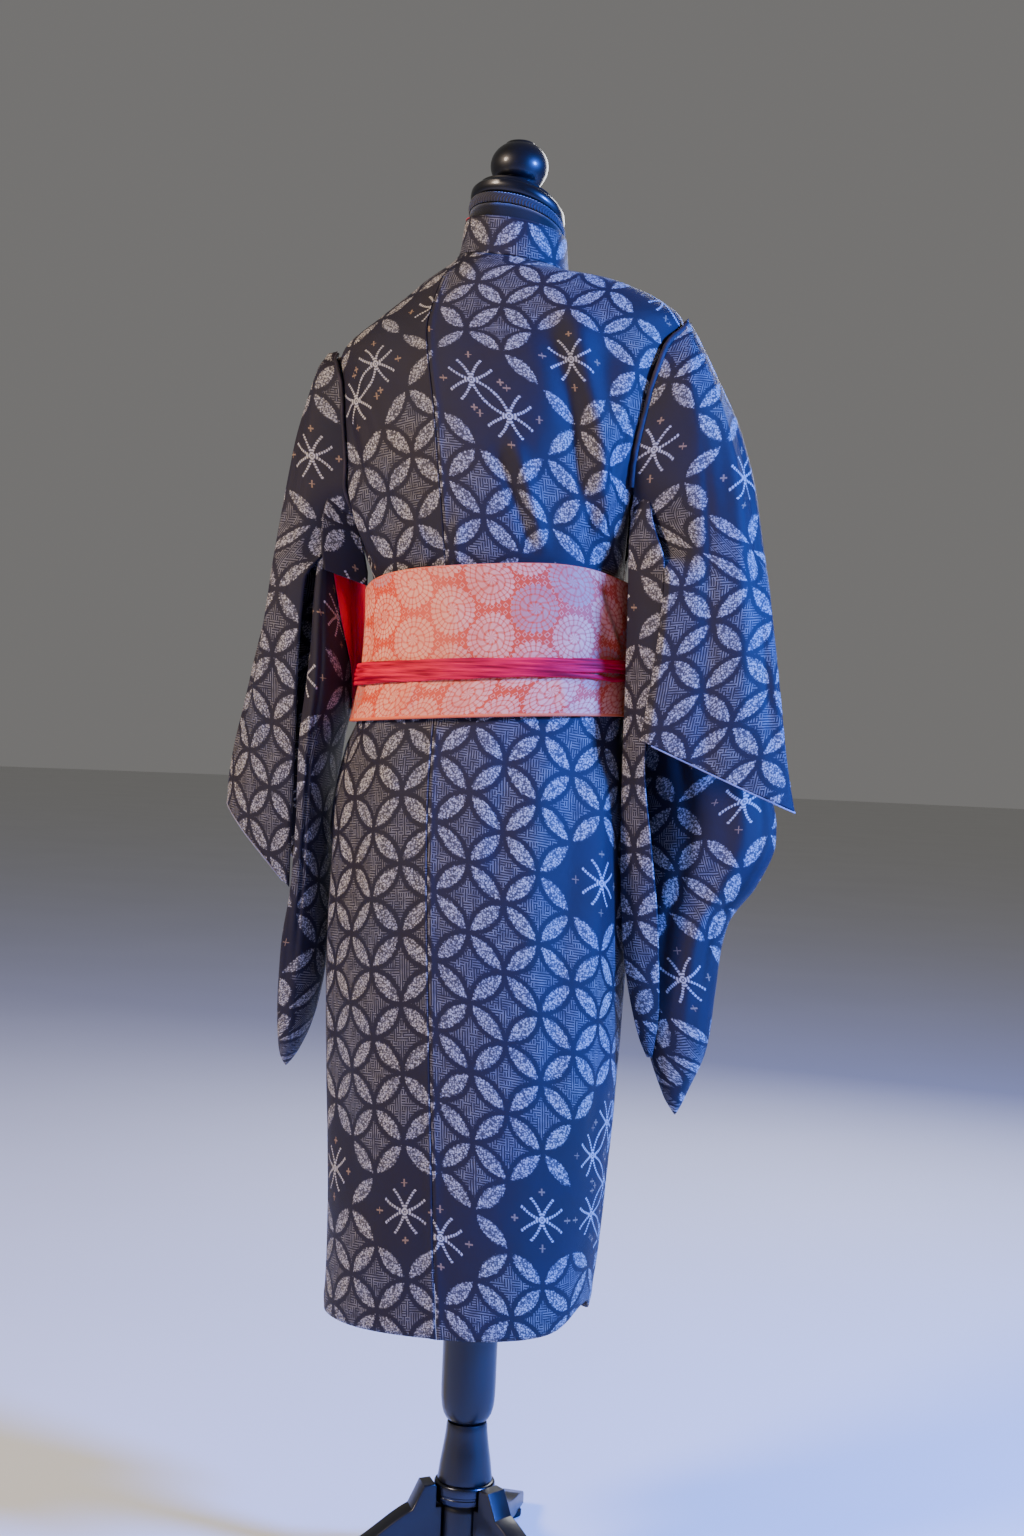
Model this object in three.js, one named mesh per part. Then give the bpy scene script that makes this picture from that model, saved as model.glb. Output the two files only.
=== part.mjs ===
// A haori jacket in a kimono cut, closed by a wide obi and a red sash, on a limbless dress form.
// Millimetres, +Z up. The back of the jacket faces -Y and its wearer would look along +Y, so the
// wearer's right is +X. The pole of the dress form stands on the line x = 0, y = 0 while the
// pieces are made, and the last step centres the whole object over the floor.
import * as THREE from "three";

// Driving dimensions of the cloth.
const clothWall = 2.0; // thickness of a cloth wall
const seamGap = 0.3; // between two pieces that are sewn edge to edge
const layerStep = 3.8; // from one layer of cloth to the next one on it
const squareness = 0.92; // 1 is an ellipse, less is squarer
const hemHeight = 300;
const hemLift = { turn: -8, breadth: 26, rise: 22, top: 520 }; // the hem's lifted corner
const neckHeight = 1446; // the seam that joins the body to the collar
const collarFoot = 1000; // where the ends of the collar lie, under the obi
const collarWidth = 44;
const skirtRows = 10; // rows of a panel below the collar's ends
const chestRows = 16; // rows of a panel beside the collar
const sleeveOverlap = 4; // degrees of the body that a sleeve's edge lies on beside the armhole
const sleeveStandOff = 2.6;
const sewnFoot = { back: 1084, front: 1150 }; // a sleeve's edges leave the body below here
const sewnRun = { back: 80, front: 40 }; // height in which they come to lie on it
const shoulderTurn = 1280; // from here up the shoulder rounds, and a sleeve stands further off
const panelRows = skirtRows + chestRows;
const collarRows = 2 * chestRows + 24;

// Driving dimensions of the belt.
const obiFoot = 938;
const obiTop = 1098;
const obiDroop = 18; // how much lower its top edge lies at the sides than behind
const obiWall = 4.0; // a band of double cloth
const bandStandOff = 5.2; // a stiff band bridges the hollows of the cloth under it
const sashHeight = 988;
const sashTall = 26;
const sashWall = 6.0;

// Driving dimensions of the stand.
const hubTop = 118;
const footPad = 7; // height of the rubber pad under a leg
const legReach = 236;
const legWide = 26;
const neckSlope = { x: -0.16, y: -0.3 }; // the cut of the neck, down to the right and the front

// The jacket's inner face, one row for each level: half breadths to the left and right of the
// pole, depths behind and before it, how far a level climbs for each millimetre towards +X,
// and the place across the back of the centre seam.
const bodyRows = [
  { z: 290, left: 160, right: 121, back: 110, front: 100, tilt: 0.03, seam: -6 },
  { z: 400, left: 160, right: 134, back: 118, front: 106, tilt: 0.03, seam: -12 },
  { z: 520, left: 165, right: 142, back: 124, front: 112, tilt: 0.03, seam: -18 },
  { z: 650, left: 172, right: 148, back: 128, front: 117, tilt: 0.03, seam: -25 },
  { z: 760, left: 173, right: 150, back: 128, front: 119, tilt: 0.04, seam: -31 },
  { z: 860, left: 166, right: 147, back: 121, front: 115, tilt: 0.05, seam: -36 },
  { z: 930, left: 151, right: 140, back: 108, front: 106, tilt: 0.06, seam: -38 },
  { z: 1010, left: 138, right: 131, back: 97, front: 104, tilt: 0.06, seam: -36 },
  { z: 1090, left: 138, right: 130, back: 100, front: 112, tilt: 0.06, seam: -33 },
  { z: 1130, left: 152, right: 138, back: 109, front: 121, tilt: 0.06, seam: -35 },
  { z: 1190, left: 168, right: 154, back: 112, front: 126, tilt: 0.06, seam: -42 },
  { z: 1260, left: 180, right: 170, back: 106, front: 118, tilt: 0.06, seam: -52 },
  { z: 1318, left: 187, right: 180, back: 96, front: 102, tilt: 0.07, seam: -64 },
  { z: 1350, left: 183, right: 183, back: 84, front: 84, tilt: 0.08, seam: -70 },
  { z: 1376, left: 146, right: 156, back: 74, front: 70, tilt: 0.07, seam: -68 },
  { z: 1400, left: 108, right: 116, back: 68, front: 61, tilt: 0.05, seam: -62 },
  { z: 1424, left: 80, right: 79, back: 65, front: 57, tilt: 0.04, seam: -54 },
  { z: 1450, left: 67, right: 64, back: 63, front: 56, tilt: 0.03, seam: -46 },
  { z: 1510, left: 60, right: 60, back: 60, front: 56, tilt: 0.0, seam: -40 },
];

// The long folds of the body: a ridge (or a trough, where its rise is negative) from one angle
// and height to another. Angles are in degrees: 0 is +X, 90 the front, 270 the back.
const foldRows = [
  { fromTurn: 312, fromZ: 1350, toTurn: 304, toZ: 1112, breadth: 26, rise: -9 },
  { fromTurn: 324, fromZ: 1340, toTurn: 318, toZ: 1112, breadth: 26, rise: 8 },
  { fromTurn: 226, fromZ: 1330, toTurn: 236, toZ: 1112, breadth: 28, rise: -7 },
  { fromTurn: 212, fromZ: 1310, toTurn: 222, toZ: 1112, breadth: 26, rise: 7 },
  { fromTurn: 330, fromZ: 900, toTurn: 322, toZ: 420, breadth: 34, rise: 5 },
  { fromTurn: 214, fromZ: 900, toTurn: 220, toZ: 420, breadth: 34, rise: -5 },
];

// Where a front panel is cut off on its way round from the side seam, in degrees: the panel of
// the wearer's left crosses over the other one, whose edge mirrors it.
const frontEdgeRows = [
  { z: 290, turn: 56 },
  { z: 700, turn: 56 },
  { z: 1000, turn: 60 },
  { z: 1100, turn: 68 },
  { z: 1200, turn: 84 },
  { z: 1290, turn: 104 },
  { z: 1370, turn: 132 },
  { z: 1420, turn: 157 },
  { z: 1446, turn: 177 },
];

// The armhole, as half the angle that it leaves open at the side.
const armholeRows = [
  { z: 1100, open: 0 },
  { z: 1130, open: 8 },
  { z: 1180, open: 20 },
  { z: 1260, open: 22 },
  { z: 1325, open: 16 },
  { z: 1350, open: 0 },
  { z: 1400, open: 0 },
];

// The outer roll of each sleeve, from the shoulder to the cuff: near and far edge from the pole,
// the near and far faces, and how far a level drops for each millimetre away from the pole.
const sleeveRightRows = [
  { z: 1362, inner: 187, outer: 194, back: -16, front: 10, drop: 0.0 },
  { z: 1338, inner: 192, outer: 208, back: -34, front: 26, drop: 0.0 },
  { z: 1290, inner: 187, outer: 233, back: -62, front: 46, drop: 0.0 },
  { z: 1240, inner: 187, outer: 255, back: -66, front: 44, drop: 0.0 },
  { z: 1176, inner: 188, outer: 274, back: -70, front: 32, drop: 0.03 },
  { z: 1100, inner: 190, outer: 289, back: -74, front: 12, drop: 0.1 },
  { z: 1020, inner: 186, outer: 303, back: -76, front: -8, drop: 0.2 },
  { z: 940, inner: 178, outer: 318, back: -78, front: -20, drop: 0.34 },
  { z: 890, inner: 172, outer: 330, back: -78, front: -22, drop: 0.42 },
];
const sleeveLeftRows = [
  { z: 1332, inner: 196, outer: 206, back: -16, front: 10, drop: 0.0 },
  { z: 1312, inner: 198, outer: 215, back: -34, front: 26, drop: 0.0 },
  { z: 1250, inner: 190, outer: 228, back: -58, front: 46, drop: 0.0 },
  { z: 1176, inner: 190, outer: 243, back: -60, front: 46, drop: 0.0 },
  { z: 1110, inner: 200, outer: 253, back: -60, front: 44, drop: -0.1 },
  { z: 1020, inner: 207, outer: 266, back: -58, front: 42, drop: -0.3 },
  { z: 930, inner: 208, outer: 282, back: -56, front: 38, drop: -0.6 },
  { z: 830, inner: 209, outer: 298, back: -54, front: 34, drop: -0.9 },
  { z: 795, inner: 209, outer: 299, back: -54, front: 32, drop: -1.0 },
];

// The pouch of each sleeve, which hangs to its corner beside the outer roll. Its skew is how far
// a level slants back for each millimetre away from the pole.
const pouchRightRows = [
  { z: 1172, inner: 158, outer: 186, back: -26, front: 26, skew: 0 },
  { z: 1136, inner: 153, outer: 184, back: -30, front: 34, skew: -0.1 },
  { z: 1104, inner: 148, outer: 183, back: -38, front: 44, skew: -0.3 },
  { z: 1060, inner: 148, outer: 182, back: -46, front: 46, skew: -0.6 },
  { z: 1015, inner: 153, outer: 179, back: -46, front: 50, skew: -0.5 },
  { z: 975, inner: 154, outer: 176, back: -30, front: 50, skew: -0.3 },
  { z: 957, inner: 156, outer: 188, back: -8, front: 52, skew: 0 },
  { z: 935, inner: 158, outer: 246, back: -4, front: 53, skew: 0 },
  { z: 880, inner: 161, outer: 292, back: -10, front: 51, skew: 0 },
  { z: 820, inner: 161, outer: 304, back: -16, front: 46, skew: 0 },
  { z: 775, inner: 161, outer: 286, back: -18, front: 44, skew: 0 },
  { z: 735, inner: 161, outer: 258, back: -18, front: 42, skew: 0 },
  { z: 660, inner: 164, outer: 247, back: -14, front: 40, skew: 0 },
  { z: 598, inner: 178, outer: 240, back: -8, front: 34, skew: 0 },
  { z: 550, inner: 196, outer: 221, back: 2, front: 24, skew: 0 },
  { z: 528, inner: 207, outer: 213, back: 10, front: 16, skew: 0 },
];
const pouchLeftRows = [
  { z: 1178, inner: 181, outer: 198, back: -34, front: 24, skew: 0 },
  { z: 1140, inner: 180, outer: 199, back: -42, front: 32, skew: 0 },
  { z: 1104, inner: 178, outer: 200, back: -50, front: 36, skew: 0 },
  { z: 1060, inner: 173, outer: 201, back: -60, front: 38, skew: 0 },
  { z: 970, inner: 166, outer: 203, back: -68, front: 40, skew: 0 },
  { z: 900, inner: 177, outer: 205, back: -68, front: 40, skew: 0 },
  { z: 820, inner: 181, outer: 205, back: -66, front: 38, skew: 0 },
  { z: 750, inner: 181, outer: 212, back: -62, front: 36, skew: 0 },
  { z: 690, inner: 181, outer: 225, back: -56, front: 34, skew: 0 },
  { z: 640, inner: 186, outer: 229, back: -48, front: 30, skew: 0 },
  { z: 590, inner: 200, outer: 231, back: -30, front: 22, skew: 0 },
  { z: 556, inner: 216, outer: 230, back: -10, front: 10, skew: 0 },
  { z: 548, inner: 221, outer: 227, back: -3, front: 3, skew: 0 },
];

// The lining's breadth at each level: its edge nearer to the pole and the other one.
const liningLeftRows = [
  { z: 1108, near: 168, far: 172 },
  { z: 1080, near: 151, far: 169 },
  { z: 1030, near: 151, far: 167 },
  { z: 1008, near: 158, far: 165 },
  { z: 984, near: 160, far: 164 },
];
const liningRightRows = [
  { z: 1122, near: 142.5, far: 146 },
  { z: 1102, near: 144.5, far: 146.4 },
  { z: 1070, near: 144.5, far: 146.4 },
];

// The dress form's body, with shoulders and a neck but no limbs.
const formRows = [
  { z: 652, side: 118, back: 78, front: 80 },
  { z: 662, side: 134, back: 92, front: 90 },
  { z: 740, side: 140, back: 104, front: 98 },
  { z: 820, side: 140, back: 106, front: 98 },
  { z: 900, side: 128, back: 94, front: 92 },
  { z: 980, side: 114, back: 82, front: 88 },
  { z: 1040, side: 110, back: 80, front: 90 },
  { z: 1110, side: 118, back: 86, front: 102 },
  { z: 1190, side: 134, back: 94, front: 114 },
  { z: 1260, side: 150, back: 92, front: 104 },
  { z: 1310, side: 162, back: 82, front: 88 },
  { z: 1334, side: 156, back: 72, front: 74 },
  { z: 1356, side: 124, back: 63, front: 61 },
  { z: 1378, side: 88, back: 57, front: 52 },
  { z: 1404, side: 62, back: 53, front: 47 },
  { z: 1436, side: 52, back: 50, front: 45 },
  { z: 1478, side: 49, back: 48, front: 45 },
];

const finish = {
  kimono: { color: 0x3a3240, roughness: 0.85, metalness: 0 },
  lining: { color: 0xb8102a, roughness: 0.6, metalness: 0 },
  obi: { color: 0xe2745a, roughness: 0.55, metalness: 0 },
  sash: { color: 0xc30a3c, roughness: 0.6, metalness: 0 },
  form: { color: 0x15151a, roughness: 0.9, metalness: 0 },
  wood: { color: 0x101218, roughness: 0.3, metalness: 0 },
  ring: { color: 0x2a2c33, roughness: 0.25, metalness: 0.8 },
  rubber: { color: 0x0c0c0d, roughness: 0.9, metalness: 0 },
};

const root = new THREE.Group();

function addPiece(name, geometry, look) {
  const mesh = new THREE.Mesh(geometry, new THREE.MeshStandardMaterial(finish[look]));
  mesh.name = name;
  root.add(mesh);
}

function radians(degrees) {
  return (degrees * Math.PI) / 180;
}

function eased(value) {
  const t = Math.min(1, Math.max(0, value));
  return t * t * (3 - 2 * t);
}

// A column of a table at height z, on a smooth curve through its rows.
function sample(rows, z, column) {
  const rising = rows[0].z < rows[rows.length - 1].z ? rows : [...rows].reverse();
  const last = rising.length - 1;
  const level = Math.min(rising[last].z, Math.max(rising[0].z, z));
  let i = 0;
  while (i < last - 1 && level > rising[i + 1].z) i += 1;
  const slopeAt = (k) => {
    const low = rising[Math.max(0, k - 1)];
    const high = rising[Math.min(last, k + 1)];
    return (high[column] - low[column]) / (high.z - low.z);
  };
  const span = rising[i + 1].z - rising[i].z;
  const t = (level - rising[i].z) / span;
  const start = rising[i][column];
  const end = rising[i + 1][column];
  const bend = (2 * t ** 3 - 3 * t ** 2 + 1) * start + (3 * t ** 2 - 2 * t ** 3) * end;
  const pull = (t ** 3 - 2 * t ** 2 + t) * slopeAt(i) + (t ** 3 - t ** 2) * slopeAt(i + 1);
  return bend + pull * span;
}

function rounded(value, power = squareness) {
  return Math.sign(value) * Math.abs(value) ** power;
}

// A point on the jacket's inner face at an angle and a level.
function bodyPoint(angle, level) {
  const breadth = sample(bodyRows, level, Math.cos(angle) >= 0 ? "right" : "left");
  const depth = sample(bodyRows, level, Math.sin(angle) >= 0 ? "front" : "back");
  const x = breadth * rounded(Math.cos(angle));
  const y = depth * rounded(Math.sin(angle));
  return new THREE.Vector3(x, y, level + sample(bodyRows, level, "tilt") * x);
}

function bodyTangents(angle, level) {
  const step = 0.01;
  const rise = 2;
  const around = bodyPoint(angle + step, level).sub(bodyPoint(angle - step, level));
  const up = bodyPoint(angle, level + rise).sub(bodyPoint(angle, level - rise));
  return { around: around.divideScalar(2 * step), up: up.divideScalar(2 * rise) };
}

function foldRise(angle, level) {
  let total = 0;
  for (const fold of foldRows) {
    const along = (level - fold.fromZ) / (fold.toZ - fold.fromZ);
    if (along <= 0 || along >= 1) continue;
    const turn = radians(fold.fromTurn + (fold.toTurn - fold.fromTurn) * along);
    const away = Math.abs(angle - turn) * sample(bodyRows, level, "back");
    const fade = eased(along * 4) * eased((1 - along) * 4);
    total += fold.rise * fade * Math.exp(-((away / fold.breadth) ** 2));
  }
  return total;
}

// A point on the body, moved out by a distance.
function clothPoint(angle, level, out) {
  const { around, up } = bodyTangents(angle, level);
  const outward = around.cross(up).normalize();
  return bodyPoint(angle, level).addScaledVector(outward, out + foldRise(angle, level));
}

// A closed wall from a grid: at(u, v, side) gives a point, u along the rows and v across them,
// with side 0 for the inner face and 1 for the outer one. A wrapped wall joins its last column
// to its first, and a tipped one closes to a point at its last row.
function makeWall({ rows, columns, wrapped = false, tipped = false, at }) {
  const positions = [];
  const triangles = [];
  const width = wrapped ? columns : columns + 1;
  const openRows = tipped ? rows : rows + 1;
  for (const side of [0, 1]) {
    for (let r = 0; r < openRows; r += 1) {
      for (let c = 0; c < width; c += 1) {
        positions.push(...at(r / rows, c / columns, side).toArray());
      }
    }
  }
  const index = (r, c, side) => (side * openRows + r) * width + (c % width);
  const quad = (a, b, c, d) => triangles.push(a, b, c, a, c, d);
  for (let r = 0; r < openRows - 1; r += 1) {
    for (let c = 0; c < columns; c += 1) {
      quad(index(r, c, 1), index(r, c + 1, 1), index(r + 1, c + 1, 1), index(r + 1, c, 1));
      quad(index(r, c, 0), index(r + 1, c, 0), index(r + 1, c + 1, 0), index(r, c + 1, 0));
    }
  }
  for (let c = 0; c < columns; c += 1) {
    const end = openRows - 1;
    quad(index(0, c, 0), index(0, c + 1, 0), index(0, c + 1, 1), index(0, c, 1));
    if (!tipped) quad(index(end, c, 1), index(end, c + 1, 1), index(end, c + 1, 0), index(end, c, 0));
  }
  if (!wrapped) {
    for (let r = 0; r < openRows - 1; r += 1) {
      const c = columns;
      quad(index(r, 0, 0), index(r, 0, 1), index(r + 1, 0, 1), index(r + 1, 0, 0));
      quad(index(r, c, 1), index(r, c, 0), index(r + 1, c, 0), index(r + 1, c, 1));
    }
  }
  if (tipped) {
    for (const side of [0, 1]) {
      const tip = positions.length / 3;
      positions.push(...at(1, 0, side).toArray());
      for (let c = 0; c < columns; c += 1) {
        const ends = [index(rows - 1, c, side), index(rows - 1, c + 1, side)];
        triangles.push(...(side ? ends : ends.reverse()), tip);
      }
    }
  }
  return facingOut(positions, triangles);
}

// The geometry of a closed mesh, turned so that its faces point out.
function facingOut(positions, triangles) {
  const corner = (i) => new THREE.Vector3().fromArray(positions, 3 * i);
  let volume = 0;
  for (let i = 0; i < triangles.length; i += 3) {
    const [a, b, c] = triangles.slice(i, i + 3).map(corner);
    volume += a.dot(b.cross(c));
  }
  const faces = volume > 0 ? triangles : [...triangles].reverse();
  const geometry = new THREE.BufferGeometry();
  geometry.setAttribute("position", new THREE.Float32BufferAttribute(positions, 3));
  geometry.setIndex(faces);
  return geometry;
}

// How far the hem's corner lifts the cloth at an angle and a level.
function cornerLift(angle, level) {
  const turn = (angle * 180) / Math.PI - hemLift.turn;
  const away = (((turn + 180) % 360) + 360) % 360 - 180;
  const share = eased((hemLift.top - level) / (hemLift.top - hemHeight));
  return hemLift.rise * share * Math.exp(-((away / hemLift.breadth) ** 2));
}

// The body's panels, from the hem to the neck. Two of them meet at the centre seam of the back.
function seamTurn(level) {
  const seam = sample(bodyRows, level, "seam");
  const breadth = sample(bodyRows, level, "left");
  const cosine = rounded(seam / breadth, 1 / squareness);
  return 2 * Math.PI - Math.acos(cosine);
}

// The level of a row of a panel. Those above the ends of the collar are the collar's too.
function panelLevel(u) {
  const row = u * panelRows;
  if (row <= skirtRows) return hemHeight + ((collarFoot - hemHeight) * row) / skirtRows;
  return collarFoot + ((neckHeight - seamGap - collarFoot) * (row - skirtRows)) / chestRows;
}

function sideGap(level) {
  const halfGap = seamGap / 2 / sample(bodyRows, level, "front");
  return radians(Math.max(0, sample(armholeRows, level, "open"))) + halfGap;
}

function addBackPanel(name, side) {
  const at = (u, v, face) => {
    const level = panelLevel(u);
    const halfGap = seamGap / sample(bodyRows, level, "back");
    const seam = seamTurn(level) + side * halfGap;
    const edge = side > 0 ? 2 * Math.PI - sideGap(level) : Math.PI + sideGap(level);
    const angle = seam + (edge - seam) * v;
    return clothPoint(angle, level + cornerLift(angle, level), face * clothWall);
  };
  addPiece(name, makeWall({ rows: panelRows, columns: 9, at }), "kimono");
}

// The layer that the wearer's left front lies in: it leaves the side seam on the inner layer
// and has climbed over the other front by the time that it meets it.
function overLayer(angle) {
  return layerStep * eased((Math.PI - angle) / radians(28));
}

function addFrontPanel(name, over) {
  const at = (u, v, face) => {
    const level = panelLevel(u);
    const cut = radians(sample(frontEdgeRows, level, "turn"));
    const reach = Math.PI - sideGap(level) - cut;
    const along = cut + reach * v;
    const layer = over ? overLayer(along) : 0;
    const angle = over ? along : Math.PI - along;
    return clothPoint(angle, level + cornerLift(angle, level), layer + face * clothWall);
  };
  addPiece(name, makeWall({ rows: panelRows, columns: 9, at }), "kimono");
}

// The collar: one strip sewn along the front edges and round the neck. Its route gives an angle
// and a level for each step, from one end under the obi to the other.
function collarRoute(u) {
  const frontShare = chestRows / collarRows;
  const climb = (share) => {
    const level = collarFoot + (neckHeight - collarFoot) * share;
    return [radians(sample(frontEdgeRows, level, "turn")), level];
  };
  if (u < frontShare) return climb(u / frontShare);
  if (u > 1 - frontShare) {
    const [angle, level] = climb((1 - u) / frontShare);
    return [3 * Math.PI - angle, level];
  }
  const start = radians(frontEdgeRows[frontEdgeRows.length - 1].turn);
  const share = (u - frontShare) / (1 - 2 * frontShare);
  return [start + (3 * Math.PI - 2 * start) * share, neckHeight];
}

function addCollar() {
  const at = (u, v, face) => {
    const [angle, level] = collarRoute(u);
    const [lastAngle, lastLevel] = collarRoute(Math.max(0, u - 0.02));
    const [nextAngle, nextLevel] = collarRoute(Math.min(1, u + 0.02));
    const { around, up } = bodyTangents(angle, level);
    const route = around.clone().multiplyScalar(nextAngle - lastAngle);
    route.addScaledVector(up, nextLevel - lastLevel).normalize();
    const outward = around.clone().cross(up).normalize();
    const across = outward.clone().cross(route);
    const width = 2 * seamGap + collarWidth * v;
    const turn = (width * across.dot(around)) / around.lengthSq();
    const rise = (width * across.dot(up)) / up.lengthSq();
    const layer = angle < Math.PI ? overLayer(angle) : 0;
    return clothPoint(angle + turn, level + rise, layer + face * clothWall);
  };
  addPiece("collar", makeWall({ rows: collarRows, columns: 2, at }), "kimono");
}

// Where a sleeve is sewn on beside the armhole, at its back edge (end -1) or its front one.
function sewnPoint(side, end, z, face) {
  const level = z - sample(bodyRows, z, "tilt") * side * sample(bodyRows, z, "right");
  const away = radians(Math.max(0, sample(armholeRows, level, "open")) + sleeveOverlap);
  const angle = side > 0 ? end * away : Math.PI - end * away;
  const layer = side < 0 && end > 0 ? overLayer(angle) : 0;
  const turned = angle < 0 ? angle + 2 * Math.PI : angle;
  const standOff = sleeveStandOff * (1 + eased((z - shoulderTurn) / 40));
  return clothPoint(turned, level, layer + clothWall + standOff + face * clothWall);
}

// A sleeve's outer roll: a wall round the far edge, open towards the body and at the cuff. Down
// to the foot of the armhole its two edges lie on the body's panels.
function addSleeve(name, side, rows) {
  const top = rows[0].z;
  const foot = rows[rows.length - 1].z;
  const at = (u, v, face) => {
    const level = top + (foot - top) * u;
    const turn = radians(-90 + 180 * v);
    const inner = sample(rows, level, "inner");
    const outer = sample(rows, level, "outer") - (1 - face) * clothWall;
    const back = sample(rows, level, "back") + (1 - face) * clothWall;
    const front = sample(rows, level, "front") - (1 - face) * clothWall;
    const x = inner + (outer - inner) * rounded(Math.cos(turn), 0.75);
    const y = (back + front) / 2 + ((front - back) / 2) * rounded(Math.sin(turn), 1.1);
    const z = level - sample(rows, level, "drop") * (x - (inner + outer) / 2);
    const point = new THREE.Vector3(side * x, y, z);
    const edge = v < 0.5 ? "back" : "front";
    const near = eased(1 - Math.min(v, 1 - v) / 0.1);
    const sewn = near * eased((level - sewnFoot[edge]) / sewnRun[edge]);
    return point.lerp(sewnPoint(side, v < 0.5 ? -1 : 1, level, face), sewn);
  };
  addPiece(name, makeWall({ rows: 14, columns: 16, at }), "kimono");
}

// A sleeve's pouch: a tube that closes to the sleeve's lowest corner.
function addPouch(name, side, rows, steps) {
  const top = rows[0].z;
  const foot = rows[rows.length - 1].z;
  const at = (u, v, face) => {
    const inward = (1 - face) * clothWall;
    const level = top + (foot - top) * u + (u === 1 ? 3 * inward : 0);
    const turn = radians(360 * v);
    const inner = sample(rows, level, "inner") + inward;
    const outer = Math.max(inner + 1, sample(rows, level, "outer") - inward);
    const back = sample(rows, level, "back") + inward;
    const front = Math.max(back + 1, sample(rows, level, "front") - inward);
    const open = u === 1 ? 0 : 1;
    const x = (inner + outer) / 2 + open * ((outer - inner) / 2) * rounded(Math.cos(turn));
    const slant = sample(rows, level, "skew") * (x - (inner + outer) / 2);
    const y = (back + front) / 2 + open * ((front - back) / 2) * rounded(Math.sin(turn));
    return new THREE.Vector3(side * x, y + slant, level);
  };
  addPiece(name, makeWall({ rows: steps, columns: 14, wrapped: true, tipped: true, at }), "kimono");
}

// The red lining that shows between a sleeve's pouch and the obi.
function addLining(name, side, rows) {
  const top = rows[0].z;
  const foot = rows[rows.length - 1].z;
  const at = (u, v, face) => {
    const z = top + (foot - top) * u;
    const near = sample(rows, z, "near");
    const x = near + (sample(rows, z, "far") - near) * v;
    return new THREE.Vector3(side * x, 20 * v - 14 + face * clothWall, z);
  };
  addPiece(name, makeWall({ rows: 6, columns: 3, at }), "lining");
}

// A band round the waist, on whatever lies there.
function bandLayer(angle) {
  return bandStandOff + layerStep * eased((Math.sin(angle) + 0.5) / 0.5);
}

function addBand(name, low, high, droop, start, wall, look) {
  const at = (u, v, face) => {
    const angle = 2 * Math.PI * v;
    const top = high - droop * eased(1 + Math.sin(angle));
    return clothPoint(angle, low + (top - low) * u, bandLayer(angle) + start + face * wall);
  };
  const rows = Math.max(1, Math.round((high - low) / 40));
  addPiece(name, makeWall({ rows, columns: 40, wrapped: true, at }), look);
}

// How far the slanted cut of the neck raises a point.
function neckRise(x, y) {
  return neckSlope.x * x + neckSlope.y * y;
}

// The dress form's body, smooth and whole.
function addFormBody() {
  const columns = 28;
  const steps = 22;
  const positions = [];
  const triangles = [];
  const low = formRows[0].z;
  const high = formRows[formRows.length - 1].z;
  for (let r = 0; r <= steps; r += 1) {
    const z = low + (high - low) * (r / steps);
    for (let c = 0; c < columns; c += 1) {
      const turn = radians((360 * c) / columns);
      const depth = sample(formRows, z, Math.sin(turn) >= 0 ? "front" : "back");
      const x = sample(formRows, z, "side") * rounded(Math.cos(turn));
      const y = depth * rounded(Math.sin(turn));
      positions.push(x, y, z + neckRise(x, y) * eased((z - 1404) / 74));
    }
  }
  const index = (r, c) => r * columns + (c % columns);
  for (let r = 0; r < steps; r += 1) {
    for (let c = 0; c < columns; c += 1) {
      triangles.push(index(r, c), index(r, c + 1), index(r + 1, c + 1));
      triangles.push(index(r, c), index(r + 1, c + 1), index(r + 1, c));
    }
  }
  for (const [row, z] of [[0, low], [steps, high]]) {
    const middle = positions.length / 3;
    positions.push(0, 0, z);
    for (let c = 0; c < columns; c += 1) {
      const ends = [index(row, c), index(row, c + 1)];
      triangles.push(...(row ? ends : ends.reverse()), middle);
    }
  }
  addPiece("form_body", facingOut(positions, triangles), "form");
}

// A turned piece on the pole's line, from pairs of radius and height, foot first. Up to a
// height it follows the slanted cut of the neck.
function addTurned(name, profile, look, slantedTo = 0) {
  const low = profile[0][1];
  const high = profile[profile.length - 1][1];
  const outline = [[0, low], ...profile, [0, high]].map(([r, z]) => new THREE.Vector2(r, z));
  const geometry = new THREE.LatheGeometry(outline, 28);
  geometry.rotateX(Math.PI / 2);
  const points = geometry.attributes.position;
  for (let i = 0; slantedTo && i < points.count; i += 1) {
    const share = eased((slantedTo - points.getZ(i)) / 14);
    points.setZ(i, points.getZ(i) + share * neckRise(points.getX(i), points.getY(i)));
  }
  addPiece(name, geometry, look);
}

function addStand() {
  addTurned("neck_cap", [[46, 1478.3], [51, 1481], [51, 1493], [44, 1499], [30, 1505]], "wood", 1600);
  addTurned("finial", finialProfile(), "wood", 1521);
  addTurned("pole", [
    [20, 181], [25, 186], [28, 196], [29.5, 216], [29.5, 420], [29, 651.7],
  ], "wood");
  addTurned("pole_foot", [[29.5, hubTop + 0.3], [28, 134], [24, 160], [22, 180.7]], "wood");
  addTurned("hub_ring", [[31, 96.3], [33, 99], [33, hubTop - 3], [31, hubTop]], "ring");
  addTurned("hub", [[22, 44], [27, 50], [27, 90], [24, 96]], "wood");
}

// A ball on a short neck, drawn as an arc.
function finialProfile() {
  const ball = 31;
  const centre = 1533;
  const points = [[22, 1505.3], [20, 1508]];
  for (let turn = -48; turn <= 84; turn += 12) {
    points.push([ball * Math.cos(radians(turn)), centre + ball * 0.86 * Math.sin(radians(turn))]);
  }
  return points;
}

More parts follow.
